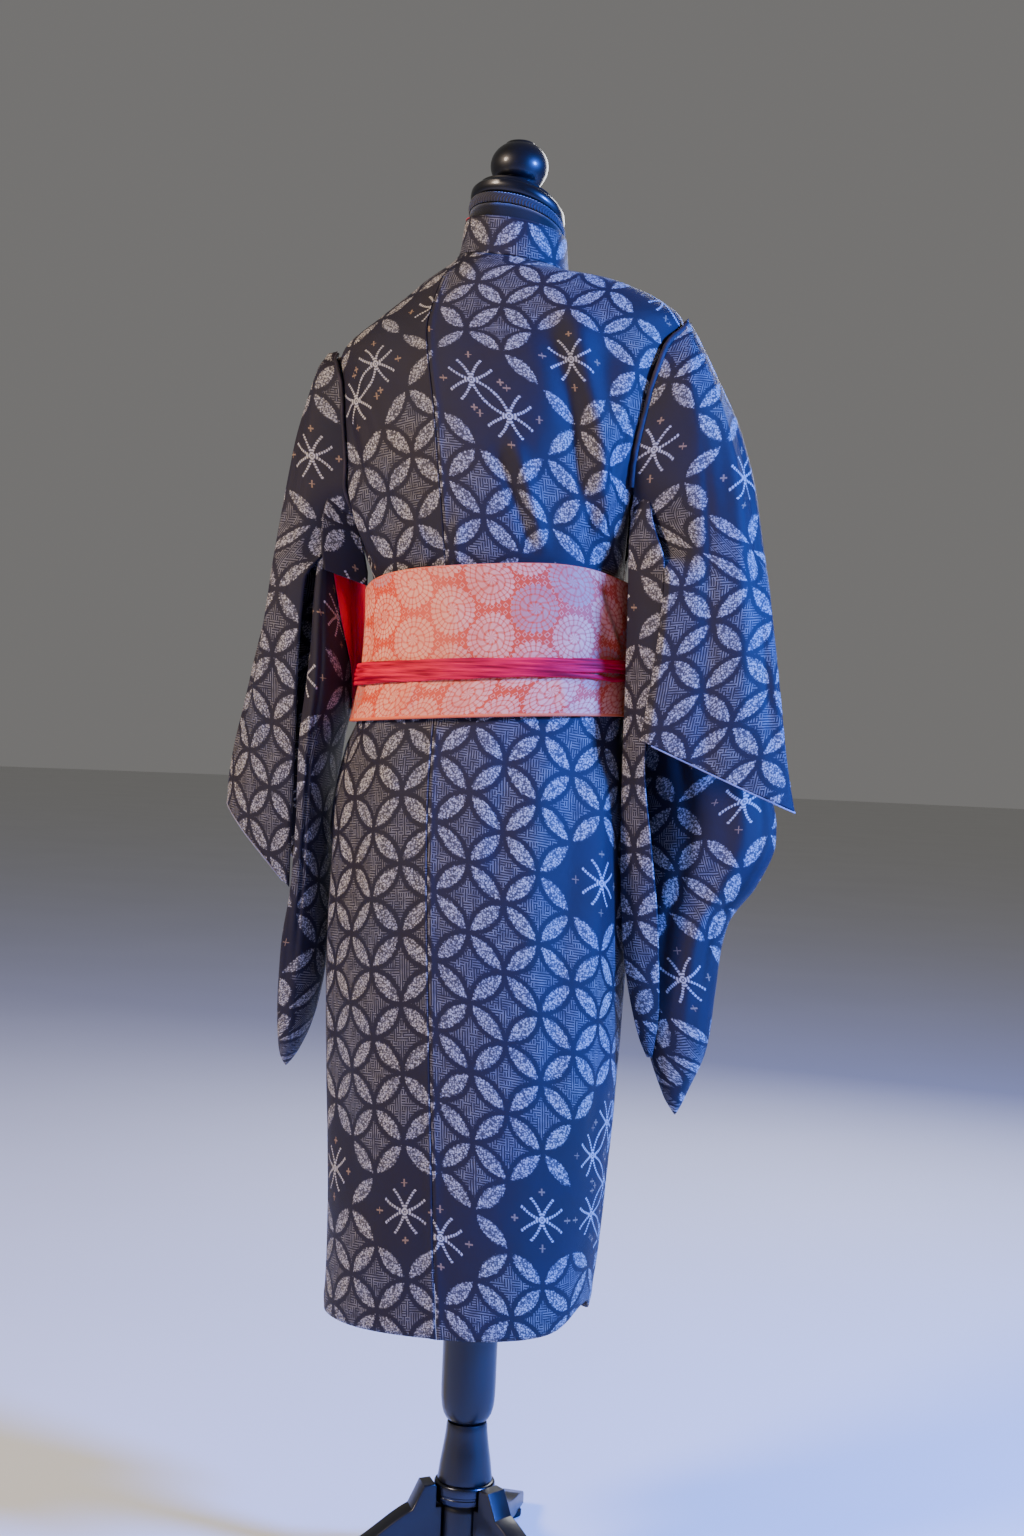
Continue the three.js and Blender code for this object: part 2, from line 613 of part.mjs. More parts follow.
// A leg: a board with a curved outline that drops from the hub to its foot.
function addLegs() {
  const outline = new THREE.Shape();
  const near = 27.3;
  outline.moveTo(near, 50);
  outline.lineTo(near, 94);
  outline.lineTo(33.6, 94);
  outline.lineTo(33.6, 115);
  outline.lineTo(36, hubTop);
  outline.lineTo(48, hubTop - 1);
  outline.lineTo(60, 92);
  outline.bezierCurveTo(98, 74, 120, 34, legReach - 26, 28);
  outline.lineTo(legReach, 22);
  outline.lineTo(legReach, footPad + 0.3);
  outline.lineTo(legReach - 44, footPad + 0.3);
  outline.bezierCurveTo(128, 14, 84, 48, near, 50);
  for (let leg = 0; leg < 3; leg += 1) {
    const turn = Math.PI / 2 + (leg * 2 * Math.PI) / 3;
    const board = new THREE.ExtrudeGeometry(outline, { depth: legWide, bevelEnabled: false, curveSegments: 8 });
    board.translate(0, 0, -legWide / 2).rotateX(Math.PI / 2).rotateZ(turn);
    addPiece(`leg_${leg + 1}`, board, "wood");
    const pad = new THREE.CylinderGeometry(15, 15, footPad, 20);
    pad.rotateX(Math.PI / 2).translate(legReach - 22, 0, footPad / 2).rotateZ(turn);
    addPiece(`foot_${leg + 1}`, pad, "rubber");
  }
}

// The whole object over the middle of the floor that it takes up.
function centreOverFloor() {
  root.updateMatrixWorld(true);
  const box = new THREE.Box3().setFromObject(root, true);
  const middle = box.getCenter(new THREE.Vector3());
  root.position.set(-middle.x, -middle.y, -box.min.z);
}

addBackPanel("back_left", -1);
addBackPanel("back_right", 1);
addFrontPanel("front_left", true);
addFrontPanel("front_right", false);
addCollar();
addSleeve("sleeve_left", -1, sleeveLeftRows);
addSleeve("sleeve_right", 1, sleeveRightRows);
addPouch("pouch_left", -1, pouchLeftRows, 12);
addPouch("pouch_right", 1, pouchRightRows, 12);
addLining("lining_left", -1, liningLeftRows);
addLining("lining_right", 1, liningRightRows);
addBand("obi", obiFoot, obiTop, obiDroop, 0, obiWall, "obi");
addBand("sash", sashHeight - sashTall / 2, sashHeight + sashTall / 2, 0, obiWall + 0.8, sashWall, "sash");
addFormBody();
addStand();
addLegs();
centreOverFloor();

export default root;
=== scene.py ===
import bpy
import bmesh
import math
from mathutils import Matrix, Vector, noise
from mathutils.geometry import interpolate_bezier


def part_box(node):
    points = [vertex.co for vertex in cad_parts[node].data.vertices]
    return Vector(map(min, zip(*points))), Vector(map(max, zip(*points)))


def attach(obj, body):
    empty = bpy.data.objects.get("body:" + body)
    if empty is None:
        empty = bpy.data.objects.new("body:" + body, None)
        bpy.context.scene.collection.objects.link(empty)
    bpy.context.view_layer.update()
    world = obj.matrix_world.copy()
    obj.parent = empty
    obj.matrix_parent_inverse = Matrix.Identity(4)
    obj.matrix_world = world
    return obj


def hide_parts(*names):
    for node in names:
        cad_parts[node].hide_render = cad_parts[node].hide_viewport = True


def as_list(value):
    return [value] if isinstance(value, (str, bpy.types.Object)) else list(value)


# A haori jacket with its obi and sash on a limbless dress form. Tables and cloth sizes are in
# millimetres, as a tailor writes them, and a piece's place becomes metres when its mesh is made.
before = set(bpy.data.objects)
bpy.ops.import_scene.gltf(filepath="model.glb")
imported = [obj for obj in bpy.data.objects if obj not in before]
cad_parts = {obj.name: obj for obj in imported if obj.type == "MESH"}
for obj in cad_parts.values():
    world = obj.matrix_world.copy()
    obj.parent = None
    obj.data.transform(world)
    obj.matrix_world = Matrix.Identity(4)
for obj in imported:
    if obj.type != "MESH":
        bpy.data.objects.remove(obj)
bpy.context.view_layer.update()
poleLow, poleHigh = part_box("pole")
standAxis = Vector(((poleLow.x + poleHigh.x) / 2, (poleLow.y + poleHigh.y) / 2, 0))
millimetre = 0.001
tau = 2 * math.pi


def table(columns, rows):
    return [dict(zip(columns.split(), row)) for row in rows]


# the jacket's inner face by level: half breadths left and right of the pole, depths behind and
# before it, how far a level climbs towards +X, and where the centre seam runs across the back
bodyRows = table("z left right back front tilt seam", [
    (290, 160, 121, 110, 100, 0.03, -6),
    (400, 160, 134, 118, 106, 0.03, -12),
    (520, 165, 142, 124, 112, 0.03, -18),
    (650, 172, 148, 128, 117, 0.03, -25),
    (760, 173, 150, 128, 119, 0.04, -31),
    (860, 166, 147, 121, 115, 0.05, -36),
    (930, 151, 140, 108, 106, 0.06, -38),
    (1010, 138, 131, 97, 104, 0.06, -36),
    (1090, 138, 130, 100, 112, 0.06, -33),
    (1130, 152, 138, 109, 121, 0.06, -35),
    (1190, 168, 154, 112, 126, 0.06, -42),
    (1260, 180, 170, 106, 118, 0.06, -52),
    (1318, 187, 180, 96, 102, 0.07, -64),
    (1350, 183, 183, 84, 84, 0.08, -70),
    (1376, 146, 156, 74, 70, 0.07, -68),
    (1400, 108, 116, 68, 61, 0.05, -62),
    (1424, 80, 79, 65, 57, 0.04, -54),
    (1450, 67, 64, 63, 56, 0.03, -46),
    (1510, 60, 60, 60, 56, 0.0, -40),
])

# long folds: a ridge (or a trough, with a negative rise) from one angle and height to another
foldRows = table("fromTurn fromZ toTurn toZ breadth rise", [
    (312, 1350, 304, 1112, 26, -9),
    (324, 1340, 318, 1112, 26, 8),
    (226, 1330, 236, 1112, 28, -7),
    (212, 1310, 222, 1112, 26, 7),
    (330, 900, 322, 420, 34, 5),
    (214, 900, 220, 420, 34, -5),
])

# finer folds of the same kind, which only the visible cloth has
fineFolds = table("fromTurn fromZ toTurn toZ breadth rise", [
    (290, 1384, 331, 1106, 9, 8.5),
    (282, 1374, 323, 1106, 9, -5.5),
    (278, 1236, 300, 1098, 6, 4.2),
    (273, 1226, 294, 1098, 6, -3.0),
    (333, 1330, 316, 1092, 7, -5.0),
    (341, 1300, 336, 1094, 7, 5.4),
    (218, 1340, 247, 1096, 9, 4.0),
    (206, 1300, 232, 1092, 8, -4.4),
    (198, 1250, 216, 1092, 7, 4.6),
    (192, 1230, 204, 1096, 6, -3.6),
    (244, 1180, 251, 1092, 6, 3.0),
    (264, 1150, 262, 1090, 5, 2.4),
    (300, 946, 296, 640, 16, 2.4),
    (286, 946, 283, 740, 10, -1.8),
    (316, 946, 311, 500, 14, -2.8),
    (331, 946, 326, 600, 11, 2.2),
    (240, 946, 243, 600, 13, 2.2),
    (226, 946, 231, 680, 10, -2.2),
    (212, 946, 216, 640, 9, 2.0),
    (202, 940, 208, 520, 12, 2.6),
    (345, 910, 338, 420, 14, -2.4),
    (187, 948, 184, 790, 20, 7.0),
    (110, 940, 104, 420, 20, 3.0),
    (74, 940, 70, 460, 18, -2.6),
    (150, 1290, 128, 1106, 14, 3.0),
    (30, 1290, 50, 1106, 14, 3.0),
])

# where a front panel is cut off on its way round from the side seam, in degrees
frontEdgeRows = table("z turn", [
    (290, 56), (700, 56), (1000, 60), (1100, 68), (1200, 84), (1290, 104), (1370, 132),
    (1420, 157), (1446, 177),
])

# half the angle that an armhole leaves open at the side
armholeRows = table("z open", [
    (1100, 0), (1130, 8), (1180, 20), (1260, 22), (1325, 16), (1350, 0), (1400, 0),
])

jacket = {
    "wall": 2.0,  # outer face of the cloth over its inner one
    "cloth": 1.3,  # thickness that the edges show
    "seamGap": 0.3,
    "seamRidge": 2.0,  # how far the centre seam's two edges stand up
    "neckSet": {"from": 1400, "run": 60, "drop": 24, "slope": 0.15, "close": 0.15},  # how the collar sits
    "layerStep": 3.8,  # from one layer of the front to the other
    "squareness": 0.92,
    "hemHeight": 300,
    "hemLift": {"turn": -7, "breadth": 19, "rise": 24, "top": 500},  # the lifted corner
    "neckHeight": 1446,
    "collarFoot": 1000,
    "collarWidth": 44,
    "rows": 260,
    "columns": 72,
}

rowCache = {}


def atHeight(rows, z, column):  # a column of a table, on a smooth curve through its rows
    key = (id(rows), z, column)
    if key in rowCache:
        return rowCache[key]
    rising = rows if rows[0]["z"] < rows[-1]["z"] else rows[::-1]
    last = len(rising) - 1
    level = min(rising[last]["z"], max(rising[0]["z"], z))
    i = 0
    while i < last - 1 and level > rising[i + 1]["z"]:
        i += 1

    def slopeAt(k):
        low, high = rising[max(0, k - 1)], rising[min(last, k + 1)]
        return (high[column] - low[column]) / (high["z"] - low["z"])

    span = rising[i + 1]["z"] - rising[i]["z"]
    t = (level - rising[i]["z"]) / span
    start, end = rising[i][column], rising[i + 1][column]
    value = (2 * t**3 - 3 * t**2 + 1) * start + (3 * t**2 - 2 * t**3) * end
    value += ((t**3 - 2 * t**2 + t) * slopeAt(i) + (t**3 - t**2) * slopeAt(i + 1)) * span
    rowCache[key] = value
    return value


def atHeights(rows, z, columns):
    return [atHeight(rows, z, column) for column in columns.split()]


def between(rows, u):  # a height on the way from a table's first row to its last
    return rows[0]["z"] + (rows[-1]["z"] - rows[0]["z"]) * u


def eased(value):
    t = min(1, max(0, value))
    return t * t * (3 - 2 * t)


def rounded(value, power=jacket["squareness"]):
    return math.copysign(abs(value) ** power, value)


def bodyPoint(angle, level):
    breadth = atHeight(bodyRows, level, "right" if math.cos(angle) >= 0 else "left")
    depth = atHeight(bodyRows, level, "front" if math.sin(angle) >= 0 else "back")
    x = breadth * rounded(math.cos(angle))
    y = depth * rounded(math.sin(angle))
    return Vector((x, y, level + atHeight(bodyRows, level, "tilt") * x))


def bodyTangents(angle, level):
    around = (bodyPoint(angle + 0.01, level) - bodyPoint(angle - 0.01, level)) / 0.02
    up = (bodyPoint(angle, level + 2) - bodyPoint(angle, level - 2)) / 4
    return around, up


def foldSum(rows, z, awayFrom):  # awayFrom gives the distance from a fold's line
    total = 0
    for fold in rows:
        along = (z - fold["fromZ"]) / (fold["toZ"] - fold["fromZ"])
        if not 0 < along < 1:
            continue
        away = awayFrom(fold["fromTurn"] + (fold["toTurn"] - fold["fromTurn"]) * along)
        fade = eased(along * 4) * eased((1 - along) * 4)
        total += fold["rise"] * fade * math.exp(-((away / fold["breadth"]) ** 2))
    return total


def foldRise(angle, level, rows):
    depth = atHeight(bodyRows, level, "back")
    return foldSum(rows, level, lambda turn: (angle - math.radians(turn)) * depth)


def softWaver(angle, level):  # the slight unevenness of hanging silk
    x, y = math.cos(angle) * 150, math.sin(angle) * 110
    broad = noise.noise(Vector((x / 62, y / 62, level / 130)))
    small = noise.noise(Vector((x / 24, y / 24, level / 52 + 7)))
    return 1.5 * broad + 0.5 * small


def seamTurn(level):  # the angle of the centre seam
    seam = atHeight(bodyRows, level, "seam")
    breadth = atHeight(bodyRows, level, "left")
    return tau - math.acos(rounded(seam / breadth, 1 / jacket["squareness"]))


def seamRise(angle, level):
    away = (angle - seamTurn(level)) * atHeight(bodyRows, level, "left")
    return jacket["seamRidge"] * math.exp(-((away / 4.5) ** 2))


def cornerLift(angle, level):  # how far the hem's corner lifts the cloth
    lift = jacket["hemLift"]
    away = (math.degrees(angle) - lift["turn"] + 180) % 360 - 180
    share = eased((lift["top"] - level) / (lift["top"] - jacket["hemHeight"]))
    return lift["rise"] * share * math.exp(-((away / lift["breadth"]) ** 2))


def setNeck(point):  # near the neck the cloth is drawn in, and lies lower towards its right
    neck = jacket["neckSet"]
    share = eased((point.z - neck["from"]) / neck["run"])
    shrink = 1 - neck["close"] * share
    drop = share * (neck["drop"] + neck["slope"] * point.x)
    return Vector((point.x * shrink, point.y * shrink, point.z - drop))


def outwardAt(angle, level):
    around, up = bodyTangents(angle, level)
    return around.cross(up).normalized()


def clothPoint(angle, level, out):
    turned = angle % tau
    rise = foldRise(turned, level, foldRows) + foldRise(turned, level, fineFolds)
    rise += softWaver(turned, level) + seamRise(turned, level)
    return setNeck(bodyPoint(angle, level) + outwardAt(angle, level) * (out + rise))


def addObject(name, data):
    piece = bpy.data.objects.new(name, data)
    bpy.context.scene.collection.objects.link(piece)
    return piece


def finishMesh(name, shape):
    mesh = bpy.data.meshes.new(name)
    shape.to_mesh(mesh)
    shape.free()
    piece = addObject(name, mesh)
    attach(piece, "root")
    return piece


def makeSheet(name, rows, columns, place, core=(0, 0), wrapped=False, start=(0, 0), slope=0,
              measured=0.5, plumb=False):
    # place(u, v) gives a point in mm, u along the rows, and core is a spot inside that the piece
    # faces away from. The UV map has the cloth's own metres, from start. Its lines climb by slope
    # across the piece, and their length is taken at the share of the breadth that measured says.
    # On a plumb piece they keep level whatever its rows do.
    sheet = bmesh.new()
    bmesh.ops.create_grid(sheet, x_segments=columns, y_segments=rows, size=0.5)
    spots = {}
    for vertex in sheet.verts:
        spots[vertex] = (round((vertex.co.y + 0.5) * rows), round((vertex.co.x + 0.5) * columns))
    points = {(r, c): place(r / rows, c / columns) for r in range(rows + 1) for c in range(columns + 1)}
    across = {}
    for r in range(rows + 1):
        reach = 0
        for c in range(columns + 1):
            reach += (points[r, c] - points[r, c - 1]).length if c else 0
            across[r, c] = reach * millimetre
    along = [0]
    middle = round(columns * measured)
    for r in range(1, rows + 1):
        along.append(along[-1] + (points[r, middle] - points[r - 1, middle]).length * millimetre)
    uvLayer = sheet.loops.layers.uv.new("clothMetres")
    for face in sheet.faces:
        for loop in face.loops:
            r, c = spots[loop.vert]
            u = across[r, c]
            fallen = (points[0, middle].z - points[r, c].z) * millimetre if plumb else along[r]
            loop[uvLayer].uv = (start[0] + u, start[1] + fallen + slope * u)
        face.smooth = True
    for vertex, spot in spots.items():
        vertex.co = points[spot] * millimetre + standAxis
    inside = Vector((*core, 0)) * millimetre + standAxis
    sheet.normal_update()
    facing = 0
    for face in sheet.faces:
        away = face.calc_center_median() - inside
        facing += face.normal.dot(Vector((away.x, away.y, 0))) * face.calc_area()
    if facing < 0:
        bmesh.ops.reverse_faces(sheet, faces=sheet.faces)
    if wrapped:
        bmesh.ops.remove_doubles(sheet, verts=sheet.verts, dist=0.00001)
    area = sum(face.calc_area() for face in sheet.faces)
    print(f"  {name}: {area:.4f} m2, {along[-1]:.3f} m long, {area / along[-1]:.3f} m wide")
    return finishMesh(name, sheet)


def makeTube(name, path, radius, sides):  # a roll, cord trim or piping on points in mm
    line = bpy.data.curves.new(name, "CURVE")
    line.dimensions = "3D"
    line.bevel_depth = radius * millimetre
    line.bevel_resolution = sides // 4
    line.use_fill_caps = True
    strand = line.splines.new("POLY")
    strand.points.add(len(path) - 1)
    for point, spot in zip(strand.points, path):
        point.co = (*(spot * millimetre + standAxis), 1)
    tube = addObject(name, line)
    mesh = bpy.data.meshes.new_from_object(tube)
    bpy.data.objects.remove(tube)
    for polygon in mesh.polygons:
        polygon.use_smooth = True
    piece = addObject(name, mesh)
    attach(piece, "root")
    return piece


def dress(piece, material, slot, *nodes, thickness=0):  # what a piece is made of and stands for
    if thickness:
        wall = piece.modifiers.new("cloth thickness", "SOLIDIFY")
        wall.thickness = thickness * millimetre
        wall.offset = -1
        wall.use_quality_normals = True
    piece.data.materials.append(material)
    if nodes:
        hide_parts(*nodes)
    return piece


def toLinear(code):  # an sRGB hex colour
    channels = [int(code[i:i + 2], 16) / 255 for i in (1, 3, 5)]
    return [c / 12.92 if c <= 0.04045 else ((c + 0.055) / 1.055) ** 2.4 for c in channels] + [1]


def addNode(tree, kind, inputs=(), **settings):  # an input is a value, a hex colour or a link
    node = tree.nodes.new("ShaderNode" + kind)
    for key, value in settings.items():
        setattr(node, key, value)
    pairs = inputs.items() if isinstance(inputs, dict) else enumerate(inputs)
    for key, value in pairs:
        if isinstance(value, bpy.types.Node):
            value = value.outputs[0]
        if isinstance(value, bpy.types.NodeSocket):
            tree.links.new(value, node.inputs[key])
        else:
            node.inputs[key].default_value = toLinear(value) if isinstance(value, str) else value
    return node


def addMath(tree, operation, *values, **settings):
    return addNode(tree, "Math", values, operation=operation, **settings)


def addProduct(tree, first, *others):
    for other in others:
        first = addMath(tree, "MULTIPLY", first, other)
    return first


def addLargest(tree, first, *others):
    for other in others:
        first = addMath(tree, "MAXIMUM", first, other)
    return first


def addVector(tree, operation, *values):
    return addNode(tree, "VectorMath", values, operation=operation)


def addRange(tree, value, low, high, toLow=0.0, toHigh=1.0):  # takes low to toLow, high to toHigh
    return addNode(tree, "MapRange", [value, low, high, toLow, toHigh])


def addBlend(tree, share, one, other):
    return addNode(tree, "MixRGB", [share, one, other])


def addNoise(tree, place, scale, detail, roughness=0.5):
    inputs = {"Vector": place, "Scale": scale, "Detail": detail, "Roughness": roughness}
    return addNode(tree, "TexNoise", inputs)


def addLot(tree, place):  # one chance value for each whole place
    return addNode(tree, "TexWhiteNoise", {"Vector": place}, noise_dimensions="2D")


def addWave(tree, place, scale, distortion, way):
    inputs = {"Vector": place, "Scale": scale, "Distortion": distortion}
    return addNode(tree, "TexWave", inputs, bands_direction=way).outputs["Fac"]


def addMiddle(tree, place):  # from each place to the middle of its own square
    return addVector(tree, "SUBTRACT", addVector(tree, "FRACTION", place), (0.5, 0.5, 0))


def splitPlace(tree, place):
    return addNode(tree, "SeparateXYZ", [place]).outputs[:2]


def takeOff(tree, tone, mask):
    return addMath(tree, "SUBTRACT", tone, addProduct(tree, tone, mask))


def clothMap(tree):  # metres on the piece's own cloth
    return addNode(tree, "UVMap", uv_map="clothMetres")


def solidMap(tree):  # metres in the room
    return addNode(tree, "TexCoord").outputs["Object"]


def newMaterial(name):
    material = bpy.data.materials.new(name)
    material.use_nodes = True
    material.node_tree.nodes.clear()
    return material, material.node_tree


def finishMaterial(material, surface, height=None, bump=0.0, distance=0.0):
    tree = material.node_tree
    shader = addNode(tree, "BsdfPrincipled", surface)
    if height:
        relief = addNode(tree, "Bump", {"Strength": bump, "Distance": distance, "Height": height})
        tree.links.new(relief.outputs[0], shader.inputs["Normal"])
    addNode(tree, "OutputMaterial", [shader])
    return material


# the jacket's cloth: dark purple-brown silk, whose pale linked circles (shippo) are dyed into the
# threads before weaving, so that their edges step and speckle
kasuri = {
    "unit": 0.0505,  # metres from one flower of four leaves to the next
    "circle": 0.7071,  # the circles' radius, in units
    "wander": 0.002,  # how far the threads are out of true
    "thread": 0.0009,  # the steps that an edge is made of
    "fray": 0.11,
    "leafDepth": 0.110,  # how far inside two circles a leaf begins
    "netDepth": 0.010,  # and where the net ends
    "bead": 500.0,
    "netPatch": 238,  # patches and lines of the net in a metre
    "netLine": 372,
    "net": 0.28,  # how pale the net is beside a leaf
    "starShare": 0.13,  # flowers left open, with dotted spokes in place of leaves
    "spokeBend": -2.0,
    "spokeSpread": 0.6,
    "spokeBead": 0.062,
    "plusPlace": 0.42,  # the small marks, from an open flower's middle
    "ground": "#1d151d",
    "groundCool": "#191524",
    "plus": "#806650",
    "pale": "#b5ada3",
    "paleCool": "#a7a4a8",
}


def addLeaves(tree, cloth, lattice):  # the leaves' tone, and the depth that ends the net
    centred = addMiddle(tree, addVector(tree, "ADD", lattice, (0.5, 0.5, 0)))
    sizeX, sizeY = splitPlace(tree, addVector(tree, "ABSOLUTE", centred))
    reach = addMath(tree, "SUBTRACT", 1.0, addLargest(tree, sizeX, sizeY))
    corner = addNode(tree, "CombineXYZ", [reach, addMath(tree, "MINIMUM", sizeX, sizeY), 0.0])
    length = addVector(tree, "LENGTH", corner).outputs["Value"]
    # how far in from the edge of the circle that reaches over from the next place
    depth = addMath(tree, "SUBTRACT", kasuri["circle"], length)
    frayed = addMath(tree, "MULTIPLY_ADD", addNoise(tree, cloth, 430.0, 2.0), kasuri["fray"], depth)
    leaf = addRange(tree, frayed, kasuri["leafDepth"], kasuri["leafDepth"] + 0.012)
    # the beads of dyed thread that fill a leaf
    beads = addNode(tree, "TexVoronoi", {"Vector": cloth, "Scale": kasuri["bead"], "Randomness": 0.7})
    bead = addRange(tree, beads, 0.30, 0.62, 1.0, 0.12)
    chance = addNode(tree, "SeparateColor", [beads.outputs["Color"]])
    glint = addRange(tree, chance, 0.0, 1.0, 0.62, 1.18)
    return addProduct(tree, bead, glint, leaf), frayed


def addNet(tree, cloth, drawn, frayed):
    # the net of fine lines between the leaves, in short runs along one way or the other
    count = (kasuri["netPatch"], kasuri["netPatch"], 1)
    patch = addVector(tree, "FLOOR", addVector(tree, "MULTIPLY", drawn, count))
    upright = addMath(tree, "GREATER_THAN", addLot(tree, patch), 0.52)
    lineCount = (kasuri["netLine"], kasuri["netLine"], 1)
    lines = addVector(tree, "FRACTION", addVector(tree, "MULTIPLY", drawn, lineCount))
    lineX, lineY = splitPlace(tree, lines)
    runs = addNode(tree, "Mix", {"Factor": upright, "A": lineX, "B": lineY})
    line = addRange(tree, runs, 0.42, 0.5, 1.0, 0.0)
    fading = addNoise(tree, cloth, 95.0, 2.0)
    faded = addRange(tree, fading, 0.3, 0.7, 0.45 * kasuri["net"], 1.35 * kasuri["net"])
    field = addRange(tree, frayed, kasuri["netDepth"], kasuri["netDepth"] - 0.010)
    return addProduct(tree, line, faded, field)


def addSpokes(tree, core, away):  # eight bent spokes of beads round a flower's middle
    x, y = splitPlace(tree, core)
    fourTurns = addProduct(tree, addMath(tree, "ARCTAN2", y, x), 4.0)
    bend = addMath(tree, "MULTIPLY_ADD", away, kasuri["spokeBend"], addMath(tree, "COSINE", fourTurns))
    offSpoke = addMath(tree, "ABSOLUTE", addMath(tree, "ADD", bend, kasuri["spokeSpread"]))
    stroke = addRange(tree, addProduct(tree, offSpoke, away), 0.065, 0.115, 1.0, 0.0)
    within = addRange(tree, away, 0.57, 0.60, 1.0, 0.0)
    beadRow = addProduct(tree, away, tau / kasuri["spokeBead"])
    knot = addRange(tree, addMath(tree, "COSINE", beadRow), -1.0, 0.2, -0.2, 1.2)
    return addProduct(tree, stroke, within, knot)


def addPlus(tree, coreSize):  # a small cross at each side of an open flower
    fromPlus = addVector(tree, "SUBTRACT", coreSize, (kasuri["plusPlace"], kasuri["plusPlace"], 0))
    turned = addNode(tree, "Mapping", {"Vector": fromPlus, "Rotation": (0, 0, -math.pi / 4)})
    x, y = splitPlace(tree, addVector(tree, "ABSOLUTE", turned))
    shortArm = addMath(tree, "LESS_THAN", addLargest(tree, x, y), 0.075)
    slim = addMath(tree, "LESS_THAN", addMath(tree, "MINIMUM", x, y), 0.013)
    return addProduct(tree, shortArm, slim)


def makeKasuriSilk():
    material, tree = newMaterial("kasuriSilk")
    cloth = clothMap(tree)
    drift = addNoise(tree, cloth, 45.0, 1.0).outputs["Color"]
    drawn = addVector(tree, "MULTIPLY_ADD", drift, (kasuri["wander"], kasuri["wander"], 0), cloth)
    stepped = addVector(tree, "SNAP", drawn, (kasuri["thread"], kasuri["thread"], 1))
    lattice = addNode(tree, "Mapping", {"Vector": stepped, "Rotation": (0, 0, math.pi / 4),
                                        "Scale": (1 / kasuri["unit"], 1 / kasuri["unit"], 1)})
    leaves, frayed = addLeaves(tree, cloth, lattice)
    net = addNet(tree, cloth, drawn, frayed)
    # an open flower has its spokes in place of four leaves, and the net is left off round it
    flower = addVector(tree, "FLOOR", lattice)
    core = addVector(tree, "MULTIPLY", addMiddle(tree, lattice), (1, 1, 0))
    coreSize = addVector(tree, "ABSOLUTE", core)
    coreX, coreY = splitPlace(tree, coreSize)
    towards = addVector(tree, "SIGN", core)
    alongX = addMath(tree, "GREATER_THAN", coreX, coreY)
    alongY = addMath(tree, "SUBTRACT", 1.0, alongX)
    stars = []
    for way in [(0, 0, 0), (alongX, alongY, 0), (alongY, alongX, 0), (1, 1, 0)]:
        step = addVector(tree, "MULTIPLY", towards, addNode(tree, "CombineXYZ", way))
        lot = addLot(tree, addVector(tree, "ADD", flower, step))
        stars.append(addMath(tree, "LESS_THAN", lot, kasuri["starShare"]))
    star, ahead, beside, across = stars
    bare = addLargest(tree, star, ahead)
    plain = addLargest(tree, beside, across, bare)
    dyed = addLargest(tree, takeOff(tree, net, plain), takeOff(tree, leaves, bare))
    away = addVector(tree, "LENGTH", core).outputs["Value"]
    spokes = addProduct(tree, addSpokes(tree, core, away), star)
    paleness = addLargest(tree, dyed, spokes)
    plus = addProduct(tree, addPlus(tree, coreSize), star)
    # colours, with slow drifts in the dye
    tint = addRange(tree, addNoise(tree, cloth, 13.0, 3.0), 0.35, 0.65)
    pale = addBlend(tree, tint, kasuri["pale"], kasuri["paleCool"])
    ground = addBlend(tree, tint, kasuri["ground"], kasuri["groundCool"])
    colour = addBlend(tree, plus, addBlend(tree, paleness, ground, pale), kasuri["plus"])
    warp = addWave(tree, cloth, 290.0, 0.6, "X")
    weave = addMath(tree, "ADD", warp, addWave(tree, cloth, 290.0, 0.6, "Y"))
    relief = addMath(tree, "MULTIPLY_ADD", paleness, 0.8, weave)
    rough = addRange(tree, paleness, 0.0, 1.0, 0.62, 0.8)
    surface = {"Base Color": colour, "Roughness": rough, "Specular IOR Level": 0.25,
               "Sheen Weight": 0.04, "Sheen Roughness": 0.4}
    return finishMaterial(material, surface, relief, 0.28, 0.0006)


# the obi's cloth: salmon brocade with pale woven chrysanthemum roundels in staggered columns
brocade = {
    "pitch": (0.087, 0.058, 1.0),  # two columns across, one roundel down, in metres
    "stagger": (0.0435, 0.029, 0.0),
    "wander": 0.009,
    "radius": 0.0248,
    "petals": 24.0,
    "arms": 9.0,  # the swirling arms of a roundel's middle
    "swirl": 11.0,
    "armReach": 0.58,
    "rings": [(0.80, 0.022), (0.58, 0.035), (0.27, 0.045)],  # dark rings, and half their breadths
    "diamond": 0.0072,
    "ground": "#dd4522",
    "groundDeep": "#c93a1a",
    "pale": "#f4a783",
    "others": [(0.68, "#a07f86"), (0.86, "#a2785a")],  # lilac and umber, each from its lot up
    "edge": "#f06a38",
    "edgeWidth": 0.0028,
    "height": 0.160,
}


def addRoundels(tree, cloth, shift):  # from each place to the middle of its roundel
    counted = addVector(tree, "DIVIDE", addVector(tree, "ADD", cloth, shift), brocade["pitch"])
    local = addVector(tree, "MULTIPLY", addMiddle(tree, counted), brocade["pitch"])
    flat = addVector(tree, "MULTIPLY", local, (1, 1, 0))
    away = addVector(tree, "LENGTH", flat).outputs["Value"]
    return flat, away, addLot(tree, addVector(tree, "FLOOR", counted))


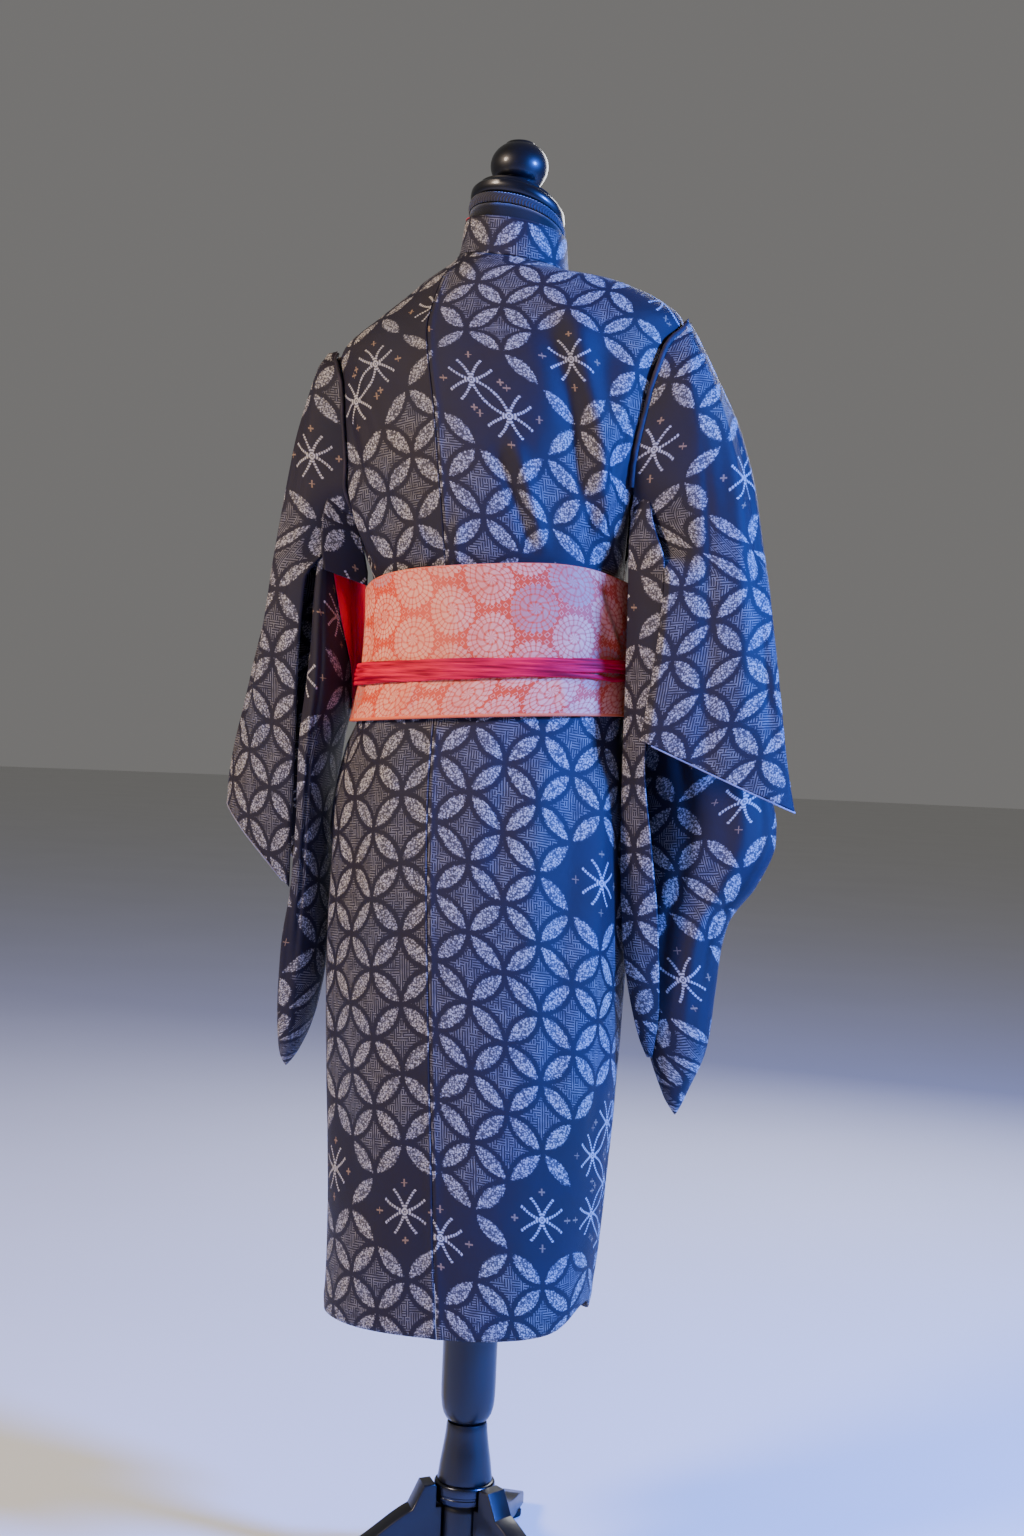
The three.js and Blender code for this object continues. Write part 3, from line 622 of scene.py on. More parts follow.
def addLace(tree, reach, turn):  # a roundel's woven tone, and where it lies
    petal = addMath(tree, "COSINE", addProduct(tree, turn, brocade["petals"]))
    armTurn = addProduct(tree, turn, brocade["arms"])
    arm = addMath(tree, "COSINE", addMath(tree, "MULTIPLY_ADD", reach, brocade["swirl"], armTurn))
    outer = addMath(tree, "GREATER_THAN", reach, brocade["armReach"])
    spun = addNode(tree, "Mix", {"Factor": outer, "A": arm, "B": petal})
    lace = addRange(tree, spun, -0.75, -0.2, 0.4, 0.95)
    inside = addMath(tree, "LESS_THAN", reach, addMath(tree, "MULTIPLY_ADD", petal, 0.05, 0.97))
    rings = []
    for place, half in brocade["rings"]:
        off = addMath(tree, "ABSOLUTE", addMath(tree, "SUBTRACT", reach, place))
        rings.append(addMath(tree, "LESS_THAN", off, half))
    lines = addLargest(tree, *rings)
    laced = addMath(tree, "SUBTRACT", lace, addProduct(tree, lines, 0.55), use_clamp=True)
    return addProduct(tree, laced, inside), inside


def addDiamonds(tree, drawn):  # the small diamonds that fill the ground between the roundels
    net = addVector(tree, "DIVIDE", drawn, (brocade["diamond"], brocade["diamond"], 1))
    x, y = splitPlace(tree, addVector(tree, "ABSOLUTE", addMiddle(tree, net)))
    off = addMath(tree, "SUBTRACT", addMath(tree, "ADD", x, y), 0.34)
    return addMath(tree, "LESS_THAN", addMath(tree, "ABSOLUTE", off), 0.085)


def makeObiBrocade():
    material, tree = newMaterial("obiBrocade")
    cloth = clothMap(tree)
    drift = addNoise(tree, cloth, 26.0, 2.0).outputs["Color"]
    drawn = addVector(tree, "MULTIPLY_ADD", drift, (brocade["wander"], brocade["wander"], 0), cloth)
    one, oneAway, oneLot = addRoundels(tree, drawn, (0.0, 0.0, 0.0))
    two, twoAway, twoLot = addRoundels(tree, drawn, brocade["stagger"])
    second = addMath(tree, "LESS_THAN", twoAway, oneAway)
    away = addMath(tree, "MINIMUM", oneAway, twoAway)
    x, y = splitPlace(tree, addBlend(tree, second, one, two))
    lot = addNode(tree, "Mix", {"Factor": second, "A": oneLot, "B": twoLot})
    reach = addMath(tree, "DIVIDE", away, brocade["radius"])
    roundel, inside = addLace(tree, reach, addMath(tree, "ARCTAN2", y, x))
    outside = addMath(tree, "SUBTRACT", 1.0, inside)
    filling = addProduct(tree, addDiamonds(tree, drawn), outside)
    worn = addRange(tree, addNoise(tree, cloth, 34.0, 4.0), 0.3, 0.7, 0.55, 1.0)
    roundelTone = addProduct(tree, roundel, worn)
    figure = addLargest(tree, roundelTone, addProduct(tree, filling, 0.45))
    threads = brocade["pale"]
    for low, other in brocade["others"]:
        share = addProduct(tree, addRange(tree, lot, low, low + 0.02, 0.0, 0.6), inside)
        threads = addBlend(tree, share, threads, other)
    ground = addBlend(tree, worn, brocade["groundDeep"], brocade["ground"])
    woven = addBlend(tree, figure, ground, threads)
    middle = brocade["height"] / 2
    off = addMath(tree, "ABSOLUTE", addMath(tree, "SUBTRACT", splitPlace(tree, cloth)[1], middle))
    edge = addMath(tree, "GREATER_THAN", off, middle - brocade["edgeWidth"])
    colour = addBlend(tree, edge, woven, brocade["edge"])
    relief = addMath(tree, "MULTIPLY_ADD", figure, 1.4, addWave(tree, cloth, 330.0, 0.4, "Y"))
    rough = addRange(tree, figure, 0.0, 1.0, 0.46, 0.62)
    surface = {"Base Color": colour, "Roughness": rough, "Specular IOR Level": 0.4,
               "Sheen Weight": 0.05, "Sheen Roughness": 0.4}
    return finishMaterial(material, surface, relief, 0.3, 0.0006)


def makeSoftCloth(name, colours, roughness, grain, fine, bump, sheen, gloss=0.3,
                  stretch=(1, 1, 1)):
    # plain cloth: two tones that drift over a hand's breadth, and a fine crinkle or knit
    material, tree = newMaterial(name)
    place = addNode(tree, "Mapping", {"Vector": solidMap(tree), "Scale": stretch})
    tone = addRange(tree, addNoise(tree, place, grain, 3.0), 0.35, 0.65)
    crinkle = addNoise(tree, place, fine, 3.0, 0.6)
    rough = addRange(tree, crinkle, 0.0, 1.0, roughness - 0.08, roughness + 0.08)
    surface = {"Base Color": addBlend(tree, tone, *colours), "Roughness": rough,
               "Specular IOR Level": gloss, "Sheen Weight": sheen, "Sheen Roughness": 0.4}
    return finishMaterial(material, surface, crinkle, bump, 0.0008)


def makeLacquer():
    # hardwood under satin black lacquer: handling dulls it in soft patches, and dust lies in them
    material, tree = newMaterial("blackLacquer")
    place = solidMap(tree)
    cloud = addNoise(tree, place, 18.0, 4.0)
    rough = addRange(tree, cloud, 0.3, 0.7, 0.28, 0.46)
    colour = addBlend(tree, addRange(tree, cloud, 0.35, 0.75), "#050609", "#0b0c12")
    stretched = addNode(tree, "Mapping", {"Vector": place, "Scale": (1, 1, 0.08)})
    surface = {"Base Color": colour, "Roughness": rough, "Specular IOR Level": 0.3,
               "Coat Weight": 0.3, "Coat Roughness": 0.16}
    return finishMaterial(material, surface, addNoise(tree, stretched, 260.0, 2.0), 0.06, 0.0004)


def makeTurnedMetal():
    # dark polished metal with the fine rings that turning leaves
    material, tree = newMaterial("turnedMetal")
    place = solidMap(tree)
    cloud = addNoise(tree, place, 30.0, 3.0)
    surface = {"Base Color": addBlend(tree, cloud, "#2c2e34", "#4a4d55"), "Metallic": 1.0,
               "Roughness": addRange(tree, cloud, 0.0, 1.0, 0.16, 0.34)}
    return finishMaterial(material, surface, addWave(tree, place, 260.0, 0.3, "Z"), 0.08, 0.0003)


def makeBraid():
    # flat plum braid: slanted plaits a few millimetres long
    material, tree = newMaterial("plumBraid")
    slanted = addNode(tree, "Mapping", {"Vector": clothMap(tree), "Rotation": (0, 0, 0.7)})
    plait = addWave(tree, slanted, 120.0, 1.5, "X")
    colour = addBlend(tree, addRange(tree, plait, 0.2, 0.9), "#0b090e", "#231e2a")
    surface = {"Base Color": colour, "Roughness": 0.8, "Sheen Weight": 0.3, "Sheen Roughness": 0.4}
    return finishMaterial(material, surface, plait, 0.5, 0.001)


# the lining is smooth and bright, the plain silk of the armhole seams dull, finely slubbed and dark
# as painted shade for the slit between body and sleeve, the crepe streaked along its pleats, the
# jersey flat black, the velvet blacker with a lit edge, the cord pale and dry, the rubber matt
kasuriSilk = makeKasuriSilk()
obiBrocade = makeObiBrocade()
redLining = makeSoftCloth("redLiningSilk", ("#c80f2c", "#e01a3c"), 0.5, 9.0, 420.0, 0.10, 0.05)
# the armhole seams: a real seam allowance, in dark plain silk that paints the shadow of the slit between
# body and sleeve
seamSilkPaintedShade = makeSoftCloth("plumSeamSilkPaintedShade", ("#1b141b", "#2b212b"), 0.7, 60.0, 700.0, 0.3, 0.05)
sashCrepe = makeSoftCloth("crimsonCrepe", ("#86001d", "#ee003c"), 0.6, 300.0, 900.0, 0.7, 0.0, 0.12,
                          (0.06, 0.06, 1))
blackJersey = makeSoftCloth("blackJersey", ("#0f0f13", "#16161b"), 0.9, 12.0, 1100.0, 0.3, 0.3)
blackVelvet = makeSoftCloth("blackVelvet", ("#08080b", "#0f0e14"), 0.95, 40.0, 1500.0, 0.4, 0.7)
piping = makeSoftCloth("paleCordedSilk", ("#6f6b7c", "#8b8797"), 0.7, 60.0, 1300.0, 0.3, 0.05)
rubberPad = makeSoftCloth("mattRubber", ("#0c0c0d", "#131314"), 0.85, 50.0, 700.0, 0.2, 0.0)
blackLacquer = makeLacquer()
turnedMetal = makeTurnedMetal()
plumBraid = makeBraid()
print("finishes made")


# the body's panels, from the hem to the neck
def panelLevel(u):
    top = jacket["neckHeight"] - jacket["seamGap"]
    return jacket["hemHeight"] + (top - jacket["hemHeight"]) * u


def sideGap(level):
    halfGap = jacket["seamGap"] / 2 / atHeight(bodyRows, level, "front")
    return math.radians(max(0, atHeight(armholeRows, level, "open"))) + halfGap


def overLayer(angle):  # how far the over front stands off the inner layer
    return jacket["layerStep"] * eased((math.pi - angle) / math.radians(28))


def hemRoll(u):  # the turned-up hem is a little thicker than the cloth
    return 0.8 * eased(1 - abs(u - 0.012) / 0.014)


def backPanel(name, side, start, slope):
    def place(u, v):
        level = panelLevel(u)
        seam = seamTurn(level) + side * jacket["seamGap"] / atHeight(bodyRows, level, "back")
        edge = tau - sideGap(level) if side > 0 else math.pi + sideGap(level)
        angle = seam + (edge - seam) * v
        return clothPoint(angle, level + cornerLift(angle, level), jacket["wall"] + hemRoll(u))

    return makeSheet(name, jacket["rows"], jacket["columns"], place, start=start, slope=slope)


def frontPanel(name, over, start):
    def place(u, v):
        level = panelLevel(u)
        cut = math.radians(atHeight(frontEdgeRows, level, "turn"))
        along = cut + (math.pi - sideGap(level) - cut) * (1 - v)
        angle = along if over else math.pi - along
        out = (overLayer(along) if over else 0) + jacket["wall"] + hemRoll(u)
        return clothPoint(angle, level + cornerLift(angle, level), out)

    return makeSheet(name, jacket["rows"], jacket["columns"], place, start=start)


backLeft = backPanel("back_panel_left", -1, (0.004, 0.010), 0.06)
backRight = backPanel("back_panel_right", 1, (0.028, 0.034), 0.16)
frontLeft = frontPanel("front_panel_left", True, (0.0, 0.012))
frontRight = frontPanel("front_panel_right", False, (0.013, 0.005))
for piece, node in [(backLeft, "back_left"), (backRight, "back_right"),
                    (frontLeft, "front_left"), (frontRight, "front_right")]:
    dress(piece, kasuriSilk, "kimono_cloth", node, thickness=jacket["cloth"])
print("body panels made")


# the collar: one strip along both front edges and round the neck
collar = {"steps": 320, "columns": 12, "frontShare": 0.285, "crown": 1.8, "sink": 0.4, "cloth": 2.0,
          "pipingRadius": 0.45, "pipingFrom": 0.29, "pipingRun": 0.09}


def collarRoute(u):
    share = collar["frontShare"]
    low, high = jacket["collarFoot"], jacket["neckHeight"]

    def climb(part):
        level = low + (high - low) * part
        return math.radians(atHeight(frontEdgeRows, level, "turn")), level

    if u < share:
        return climb(u / share)
    if u > 1 - share:
        angle, level = climb((1 - u) / share)
        return 3 * math.pi - angle, level
    start = math.radians(frontEdgeRows[-1]["turn"])
    return start + (3 * math.pi - 2 * start) * (u - share) / (1 - 2 * share), high


def collarPlace(u, v):
    angle, level = collarRoute(u)
    lastAngle, lastLevel = collarRoute(max(0, u - 0.02))
    nextAngle, nextLevel = collarRoute(min(1, u + 0.02))
    around, up = bodyTangents(angle, level)
    route = (around * (nextAngle - lastAngle) + up * (nextLevel - lastLevel)).normalized()
    across = around.cross(up).normalized().cross(route)
    width = 2 * jacket["seamGap"] + jacket["collarWidth"] * v
    turn = width * across.dot(around) / around.length_squared
    rise = width * across.dot(up) / up.length_squared
    layer = overLayer(angle) if angle < math.pi else 0
    crown = collar["crown"] * math.sin(math.pi * v) ** 0.5
    out = layer + jacket["wall"] + crown - collar["sink"]
    return clothPoint(angle + turn, level + rise, out)


collarStrip = makeSheet("collar_strip", collar["steps"], collar["columns"], collarPlace,
                        start=(0.03, 0.01))
dress(collarStrip, kasuriSilk, "kimono_cloth", "collar", thickness=collar["cloth"])
edgeSteps = [collarPlace(collar["pipingFrom"] + collar["pipingRun"] * i / 40, 1.0) for i in range(41)]
collarPiping = makeTube("collar_piping", edgeSteps, collar["pipingRadius"], 8)
dress(collarPiping, redLining, "lining")
print("collar made")

# each sleeve's outer roll: near and far edge from the pole, near and far faces, and how far a
# level drops away from the pole
sleeveRightRows = table("z inner outer back front drop", [
    (1362, 187, 194, -16, 10, 0.0),
    (1338, 192, 208, -34, 26, 0.0),
    (1290, 187, 233, -62, 46, 0.0),
    (1240, 187, 255, -66, 44, 0.0),
    (1176, 188, 274, -70, 32, 0.03),
    (1100, 190, 289, -74, 12, 0.1),
    (1020, 186, 303, -76, -8, 0.2),
    (940, 178, 318, -78, -20, 0.34),
    (890, 172, 330, -78, -22, 0.42),
])
sleeveLeftRows = table("z inner outer back front drop", [
    (1332, 196, 206, -16, 10, 0.0),
    (1312, 198, 215, -34, 26, 0.0),
    (1250, 190, 228, -58, 46, 0.0),
    (1176, 190, 243, -60, 46, 0.0),
    (1110, 200, 253, -60, 44, -0.1),
    (1020, 207, 266, -58, 42, -0.3),
    (930, 208, 282, -56, 38, -0.6),
    (830, 209, 298, -54, 34, -0.9),
    (795, 209, 299, -54, 32, -1.0),
])
# each pouch, which hangs to its corner beside the roll: skew is how far a level slants back
pouchRightRows = table("z inner outer back front skew", [
    (1172, 158, 186, -26, 26, 0),
    (1136, 153, 184, -30, 34, -0.1),
    (1104, 148, 183, -38, 44, -0.3),
    (1060, 148, 182, -46, 46, -0.6),
    (1015, 153, 179, -46, 50, -0.5),
    (975, 154, 176, -30, 50, -0.3),
    (957, 156, 188, -8, 52, 0),
    (935, 158, 246, -4, 53, 0),
    (880, 161, 292, -10, 51, 0),
    (820, 161, 304, -16, 46, 0),
    (775, 161, 286, -18, 44, 0),
    (735, 161, 258, -18, 42, 0),
    (660, 164, 247, -14, 40, 0),
    (598, 178, 240, -8, 34, 0),
    (550, 196, 221, 2, 24, 0),
    (528, 207, 213, 10, 16, 0),
])
pouchLeftRows = table("z inner outer back front skew", [
    (1178, 181, 198, -34, 24, 0),
    (1140, 180, 199, -42, 32, 0),
    (1104, 178, 200, -50, 36, 0),
    (1060, 173, 201, -60, 38, 0),
    (970, 166, 203, -68, 40, 0),
    (900, 177, 205, -68, 40, 0),
    (820, 181, 205, -66, 38, 0),
    (750, 181, 212, -62, 36, 0),
    (690, 181, 225, -56, 34, 0),
    (640, 186, 229, -48, 30, 0),
    (590, 200, 231, -30, 22, 0),
    (556, 216, 230, -10, 10, 0),
    (548, 221, 227, -3, 3, 0),
])
sleeve = {
    "overlap": 4,  # degrees past the armhole's edge
    "standOff": 2.6,
    "sewnFoot": {"back": 1084, "front": 1150},  # the edges leave the body below here
    "sewnRun": {"back": 80, "front": 40},
    "shoulderTurn": 1280,
    "edgeShare": 0.1,  # the share of the breadth that each sewn edge draws in
    "squareness": {"across": 0.75, "through": 1.1},
    "waver": {"roll": 1.6, "pouch": 1.3},  # unevenness of the cloth
    "closing": 0.03,  # the share of a pouch's height over which its corner closes
    "core": (235, -18),
    "rows": 190,
    "columns": 110,
    "pouchRows": 190,
    "pouchColumns": 120,
    "slope": 0.1,  # how far the weave's lines climb across a sleeve
}

# folds on a sleeve: a ridge or trough from one place along the edge and height to another
rollFolds = table("fromTurn fromZ toTurn toZ breadth rise", [
    (0.30, 1340, 0.20, 900, 0.050, 4.0),
    (0.42, 1290, 0.33, 880, 0.035, -3.0),
    (0.12, 1260, 0.10, 820, 0.030, -2.4),
    (0.62, 1300, 0.70, 860, 0.045, 3.4),
    (0.36, 1100, 0.44, 850, 0.030, 2.6),
])
pouchFolds = table("fromTurn fromZ toTurn toZ breadth rise", [
    (0.86, 1010, 0.80, 600, 0.028, 3.4),
    (0.93, 980, 0.87, 640, 0.022, -2.8),
    (0.70, 1120, 0.72, 620, 0.022, -2.2),
    (0.15, 1000, 0.20, 600, 0.035, 3.0),
])


def sewnPoint(side, end, z):
    level = z - atHeight(bodyRows, z, "tilt") * side * atHeight(bodyRows, z, "right")
    away = math.radians(max(0, atHeight(armholeRows, level, "open")) + sleeve["overlap"])
    angle = end * away if side > 0 else math.pi - end * away
    layer = overLayer(angle) if side < 0 and end > 0 else 0
    standOff = sleeve["standOff"] * (1 + eased((z - sleeve["shoulderTurn"]) / 40))
    return clothPoint(angle, level, layer + 2 * jacket["wall"] + standOff)


def rollPoint(side, rows, u, v):
    level = between(rows, u)
    turn = math.radians(-90 + 180 * v)
    inner, outer, back, front, drop = atHeights(rows, level, "inner outer back front drop")
    x = inner + (outer - inner) * rounded(math.cos(turn), sleeve["squareness"]["across"])
    deep = (front - back) / 2 * rounded(math.sin(turn), sleeve["squareness"]["through"])
    y = (back + front) / 2 + deep
    z = level - drop * (x - (inner + outer) / 2)
    near = eased(1 - min(v, 1 - v) / sleeve["edgeShare"])
    free = (1 - near) * eased(u * 5)
    swell = foldSum(rollFolds, z, lambda middle: v - middle)
    swell += sleeve["waver"]["roll"] * noise.noise(Vector((x / 40, y / 30, z / 90 + side * 5)))
    x += free * swell * math.cos(turn)
    y += free * swell * math.sin(turn)
    edge, end = ("back", -1) if v < 0.5 else ("front", 1)
    sewn = near * eased((level - sleeve["sewnFoot"][edge]) / sleeve["sewnRun"][edge])
    return Vector((side * x, y, z)).lerp(sewnPoint(side, end, level), sewn)


def sleeveRoll(name, side, rows, start):
    core = (side * sleeve["core"][0], sleeve["core"][1])
    return makeSheet(name, sleeve["rows"], sleeve["columns"], lambda u, v: rollPoint(side, rows, u, v),
                     core=core, start=start, slope=sleeve["slope"], plumb=True)


def pouchPoint(side, rows, u, v, grown=0):
    level = between(rows, u)
    turn = tau * v
    inner, outer, back, front, skew = atHeights(rows, level, "inner outer back front skew")
    closing = math.sqrt(max(0, 1 - max(0, (u - 1) / sleeve["closing"] + 1) ** 2))
    broad, deep = (outer - inner) / 2, (front - back) / 2
    swell = foldSum(pouchFolds, level, lambda middle: v - middle) * eased(deep / 12)
    spot = Vector((math.cos(turn) * 2, math.sin(turn) * 2, level / 70 + side * 9))
    swell += sleeve["waver"]["pouch"] * noise.noise(spot)
    swell = swell * min(1, (1 - u) * 8) * eased(u * 8) + grown
    x = broad * rounded(math.cos(turn)) * closing
    slant = skew * x
    y = deep * rounded(math.sin(turn)) * closing
    x += swell * math.cos(turn) * min(1, broad / 14) * closing
    y += swell * math.sin(turn) * closing
    return Vector((side * (x + (inner + outer) / 2), y + slant + (back + front) / 2, level))


def sleevePouch(name, side, rows, start):
    core = (side * (rows[0]["inner"] + rows[0]["outer"]) / 2, 0)
    return makeSheet(name, sleeve["pouchRows"], sleeve["pouchColumns"],
                     lambda u, v: pouchPoint(side, rows, u, v), core=core, wrapped=True, start=start,
                     slope=sleeve["slope"], measured=0.75, plumb=True)


rollLeft = sleeveRoll("sleeve_roll_left", -1, sleeveLeftRows, (0.0, 0.02))
rollRight = sleeveRoll("sleeve_roll_right", 1, sleeveRightRows, (0.017, 0.0))
bagLeft = sleevePouch("sleeve_pouch_left", -1, pouchLeftRows, (0.01, 0.03))
bagRight = sleevePouch("sleeve_pouch_right", 1, pouchRightRows, (0.03, 0.02))
for piece, node in [(rollLeft, "sleeve_left"), (rollRight, "sleeve_right"),
                    (bagLeft, "pouch_left"), (bagRight, "pouch_right")]:
    dress(piece, kasuriSilk, "kimono_cloth", node, thickness=jacket["cloth"])

# the cuffs' corded edge, and the rolled seam allowance behind each armhole: a real seam, whose
# dark plain silk is painted shade for the slit between body and sleeve
edging = {"steps": 90, "cord": 0.8, "rollTop": 3, "rollRun": 172}
for side, rows, word, girth in [(-1, sleeveLeftRows, "left", 2.0), (1, sleeveRightRows, "right", 3.0)]:
    rim = []
    for i in range(edging["steps"] + 1):
        point = rollPoint(side, rows, 1.0, 0.01 + 0.98 * i / edging["steps"])
        rim.append(point + Vector((0, 0, -0.6)))
    dress(makeTube("cuff_piping_" + word, rim, edging["cord"], 8), piping, "kimono_cloth")
    tall = rows[0]["z"] - rows[-1]["z"]
    seam = []
    for i in range(edging["steps"]):
        drop = edging["rollTop"] + edging["rollRun"] * i / (edging["steps"] - 1)
        wobble = 0.5 * noise.noise(Vector((i / 4, side, 0)))
        point = rollPoint(side, rows, drop / tall, 0.0)
        seam.append(point + Vector((side * (wobble - 1.6), 0.6 + wobble, 0)))
    dress(makeTube("armhole_roll_painted_shade_" + word, seam, girth, 12), seamSilkPaintedShade, "kimono_cloth")

# the right sleeve's inner face, which falls from the armhole to the pouch in the outer roll's shade
fallRows = table("z inX inY outX outY", [
    (1200, 158, -44, 163, -49),
    (1150, 147, -46, 172, -58),
    (1110, 147, -50, 187, -68),
    (1084, 148, -52, 189, -71),
    (1000, 149, -52, 184, -72),
    (900, 149, -50, 176, -70),
    (820, 150, -46, 184, -58),
    (740, 153, -38, 192, -40),
    (680, 159, -30, 194, -28),
    (640, 166, -22, 194, -20),
    (610, 173, -13, 190, -12),
    (590, 180, -4, 186, -4),
])


def edgesAt(rows, z):  # both edges of a strip, at one height
    inX, inY, outX, outY = atHeights(rows, z, "inX inY outX outY")
    return Vector((inX, inY, z)), Vector((outX, outY, z))


def fallPlace(u, v):
    z = between(fallRows, u)
    near, far = edgesAt(fallRows, z)
    turned = Vector((near.x + 1, near.y + 44 * eased((z - 560) / 160), z))
    if v < 0.45:
        return turned.lerp(near, v / 0.45)
    part = (v - 0.45) / 0.55
    bulge = 3.0 * math.sin(math.pi * part) + 1.5 * math.sin(u * 9)
    return near.lerp(far, part) + Vector((0, -bulge, 0))


sleeveFall = makeSheet("sleeve_fall_right", 150, 40, fallPlace, core=(190, 20), start=(0.01, 0.0))
dress(sleeveFall, kasuriSilk, "kimono_cloth", thickness=jacket["cloth"])

# the same under the left arm, where the sleeve is sewn on down to the lining
gussetRows = table("z inX inY outX outY", [
    (1200, 166, -46, 170, -50),
    (1160, 157, -44, 184, -58),
    (1120, 146, -38, 186, -60),
    (1092, 142, -30, 182, -58),
])


def gussetPlace(u, v):
    foot = gussetRows[-1]["z"] - 14 * (1 - v)
    near, far = edgesAt(gussetRows, gussetRows[0]["z"] + (foot - gussetRows[0]["z"]) * u)
    point = near.lerp(far, v) + Vector((0, -2.0 * math.sin(math.pi * v), 0))
    return Vector((-point.x, point.y, point.z))


sleeveGusset = makeSheet("sleeve_fall_left", 50, 20, gussetPlace, core=(-170, 40), start=(0.02, 0.01))
dress(sleeveGusset, kasuriSilk, "kimono_cloth", thickness=jacket["cloth"])
print("sleeves made")

# the red lining: the strips beside the obi, and the facing of the left sleeve's open side
liningLeftRows = table("z near far", [
    (1110, 156, 178), (1080, 150, 176), (1030, 150, 172), (990, 152, 169), (956, 156, 167),
])
liningRightRows = table("z near far", [
    (1122, 142.5, 146), (1102, 144.5, 146.4), (1070, 144.5, 146.4),
])
facing = {"top": 1108, "foot": 945, "backTop": 0.63, "backFoot": 0.43, "front": 0.38, "proud": 2.6}


def liningStrip(name, node, side, rows):
    def place(u, v):
        z = between(rows, u)
        near, far = atHeights(rows, z, "near far")
        x = near + (far - near) * v
        ripple = 2.4 * math.sin(v * 9 + u * 5) * math.sin(math.pi * v) * min(1, (x - near) / 6)
        return Vector((side * x, 20 * v - 14 + ripple, z))

    return dress(makeSheet(name, 60, 30, place), redLining, "lining", node, thickness=1.0)


def facingPlace(u, v):
    z = facing["top"] + (facing["foot"] - facing["top"]) * u
    back = facing["backTop"] + (facing["backFoot"] - facing["backTop"]) * u
    part = facing["front"] + (back - facing["front"]) * v
    ripple = 1.6 * math.sin(v * 11 + u * 7 + 3 * math.sin(u * 5)) * math.sin(math.pi * v)
    top, foot = pouchLeftRows[0]["z"], pouchLeftRows[-1]["z"]
    return pouchPoint(-1, pouchLeftRows, (top - z) / (top - foot), part, facing["proud"] + ripple)


liningLeft = liningStrip("lining_edge_left", "lining_left", -1, liningLeftRows)
liningRight = liningStrip("lining_edge_right", "lining_right", 1, liningRightRows)
sleeveFacing = makeSheet("sleeve_facing_left", 80, 40, facingPlace, core=(-190, -10))
dress(sleeveFacing, redLining, "lining", thickness=0.8)
print("lining made")

# the obi and the sash round it
belt = {"foot": 938, "top": 1098, "droop": 18, "wall": 4.0, "standOff": 5.2, "pinch": 1.4,
        "sashHeight": 988}

# creases in the obi, from one angle and height to another
obiFolds = table("fromTurn fromZ toTurn toZ breadth rise", [
    (321, 1094, 348, 994, 6, 2.4),
    (327, 1094, 354, 994, 6, -2.0),
    (203, 1082, 201, 940, 4.5, 2.2),
    (197, 1082, 196, 940, 4, -1.8),
    (210, 1060, 208, 940, 5, -1.6),
    (218, 1040, 216, 960, 6, 1.2),
    (247, 984, 243, 939, 7, 1.7),
    (306, 984, 311, 939, 7, 1.8),
    (262, 1062, 266, 996, 11, 1.2),
    (236, 1050, 231, 994, 9, 1.3),
])


def bandLayer(angle):
    return belt["standOff"] + jacket["layerStep"] * eased((math.sin(angle) + 0.5) / 0.5)


def beltPoint(angle, level, out):
    return bodyPoint(angle, level) + outwardAt(angle, level) * (bandLayer(angle) + out)


def obiPlace(u, v):
    angle = tau * v
    top = belt["top"] - belt["droop"] * eased(1 + math.sin(angle))
    level = belt["foot"] + (top - belt["foot"]) * u
    pinch = belt["pinch"] * math.exp(-(((level - belt["sashHeight"]) / 15) ** 2))
    swell = foldRise(angle % tau, level, obiFolds) + 0.5 * noise.noise(Vector((v * 30, level / 40, 2)))
    return beltPoint(angle, level, belt["wall"] + swell - pinch)


obiBand = makeSheet("obi_band", 80, 420, obiPlace, wrapped=True, measured=0.75)
dress(obiBand, obiBrocade, "obi_brocade", "obi", thickness=3.4)

# the sash's pleats, one row for each: by angle, how high a pleat lies over the sash's middle
sashTurns = [180, 205, 235, 262, 290, 318, 340, 360, 450, 540]
sashPleats = [
    dict(lift=[10, 9.5, 8, 6.5, 6, 7, 6, 6.5, 8, 10],
         tall=[3.2, 3.4, 4.6, 6.0, 5.4, 3.6, 3.2, 3.2, 3.4, 3.2]),
    dict(lift=[5, 4.6, 4.4, 4.0, 3.4, 3.6, 3.0, 3.0, 4, 5],
         tall=[3.0, 3.2, 4.2, 5.6, 5.0, 3.4, 3.0, 3.0, 3.2, 3.0]),
    dict(lift=[0, -0.4, 0.6, 0.4, 0.2, 0.6, 0.0, 0, 0, 0],
         tall=[3.2, 3.0, 4.4, 6.2, 5.2, 3.2, 3.0, 3.0, 3.2, 3.2]),
    dict(lift=[-5, -4.8, -4.0, -3.6, -3.0, -2.6, -3.2, -4, -5, -5],
         tall=[3.0, 3.4, 4.4, 5.6, 4.8, 3.2, 2.8, 3.0, 3.0, 3.0]),
    dict(lift=[-10, -9.4, -8, -6.4, -6.4, -9.0, -11.5, -10.5, -9, -10],
         tall=[3.2, 3.2, 4.2, 5.6, 4.4, 3.0, 2.8, 2.8, 3.2, 3.2]),
]


def sampleTurn(values, degrees):
    turned = 180 + (degrees - 180) % 360
    for i in range(len(sashTurns) - 1):
        if turned <= sashTurns[i + 1]:
            share = eased((turned - sashTurns[i]) / (sashTurns[i + 1] - sashTurns[i]))
            return values[i] + (values[i + 1] - values[i]) * share
    return values[-1]


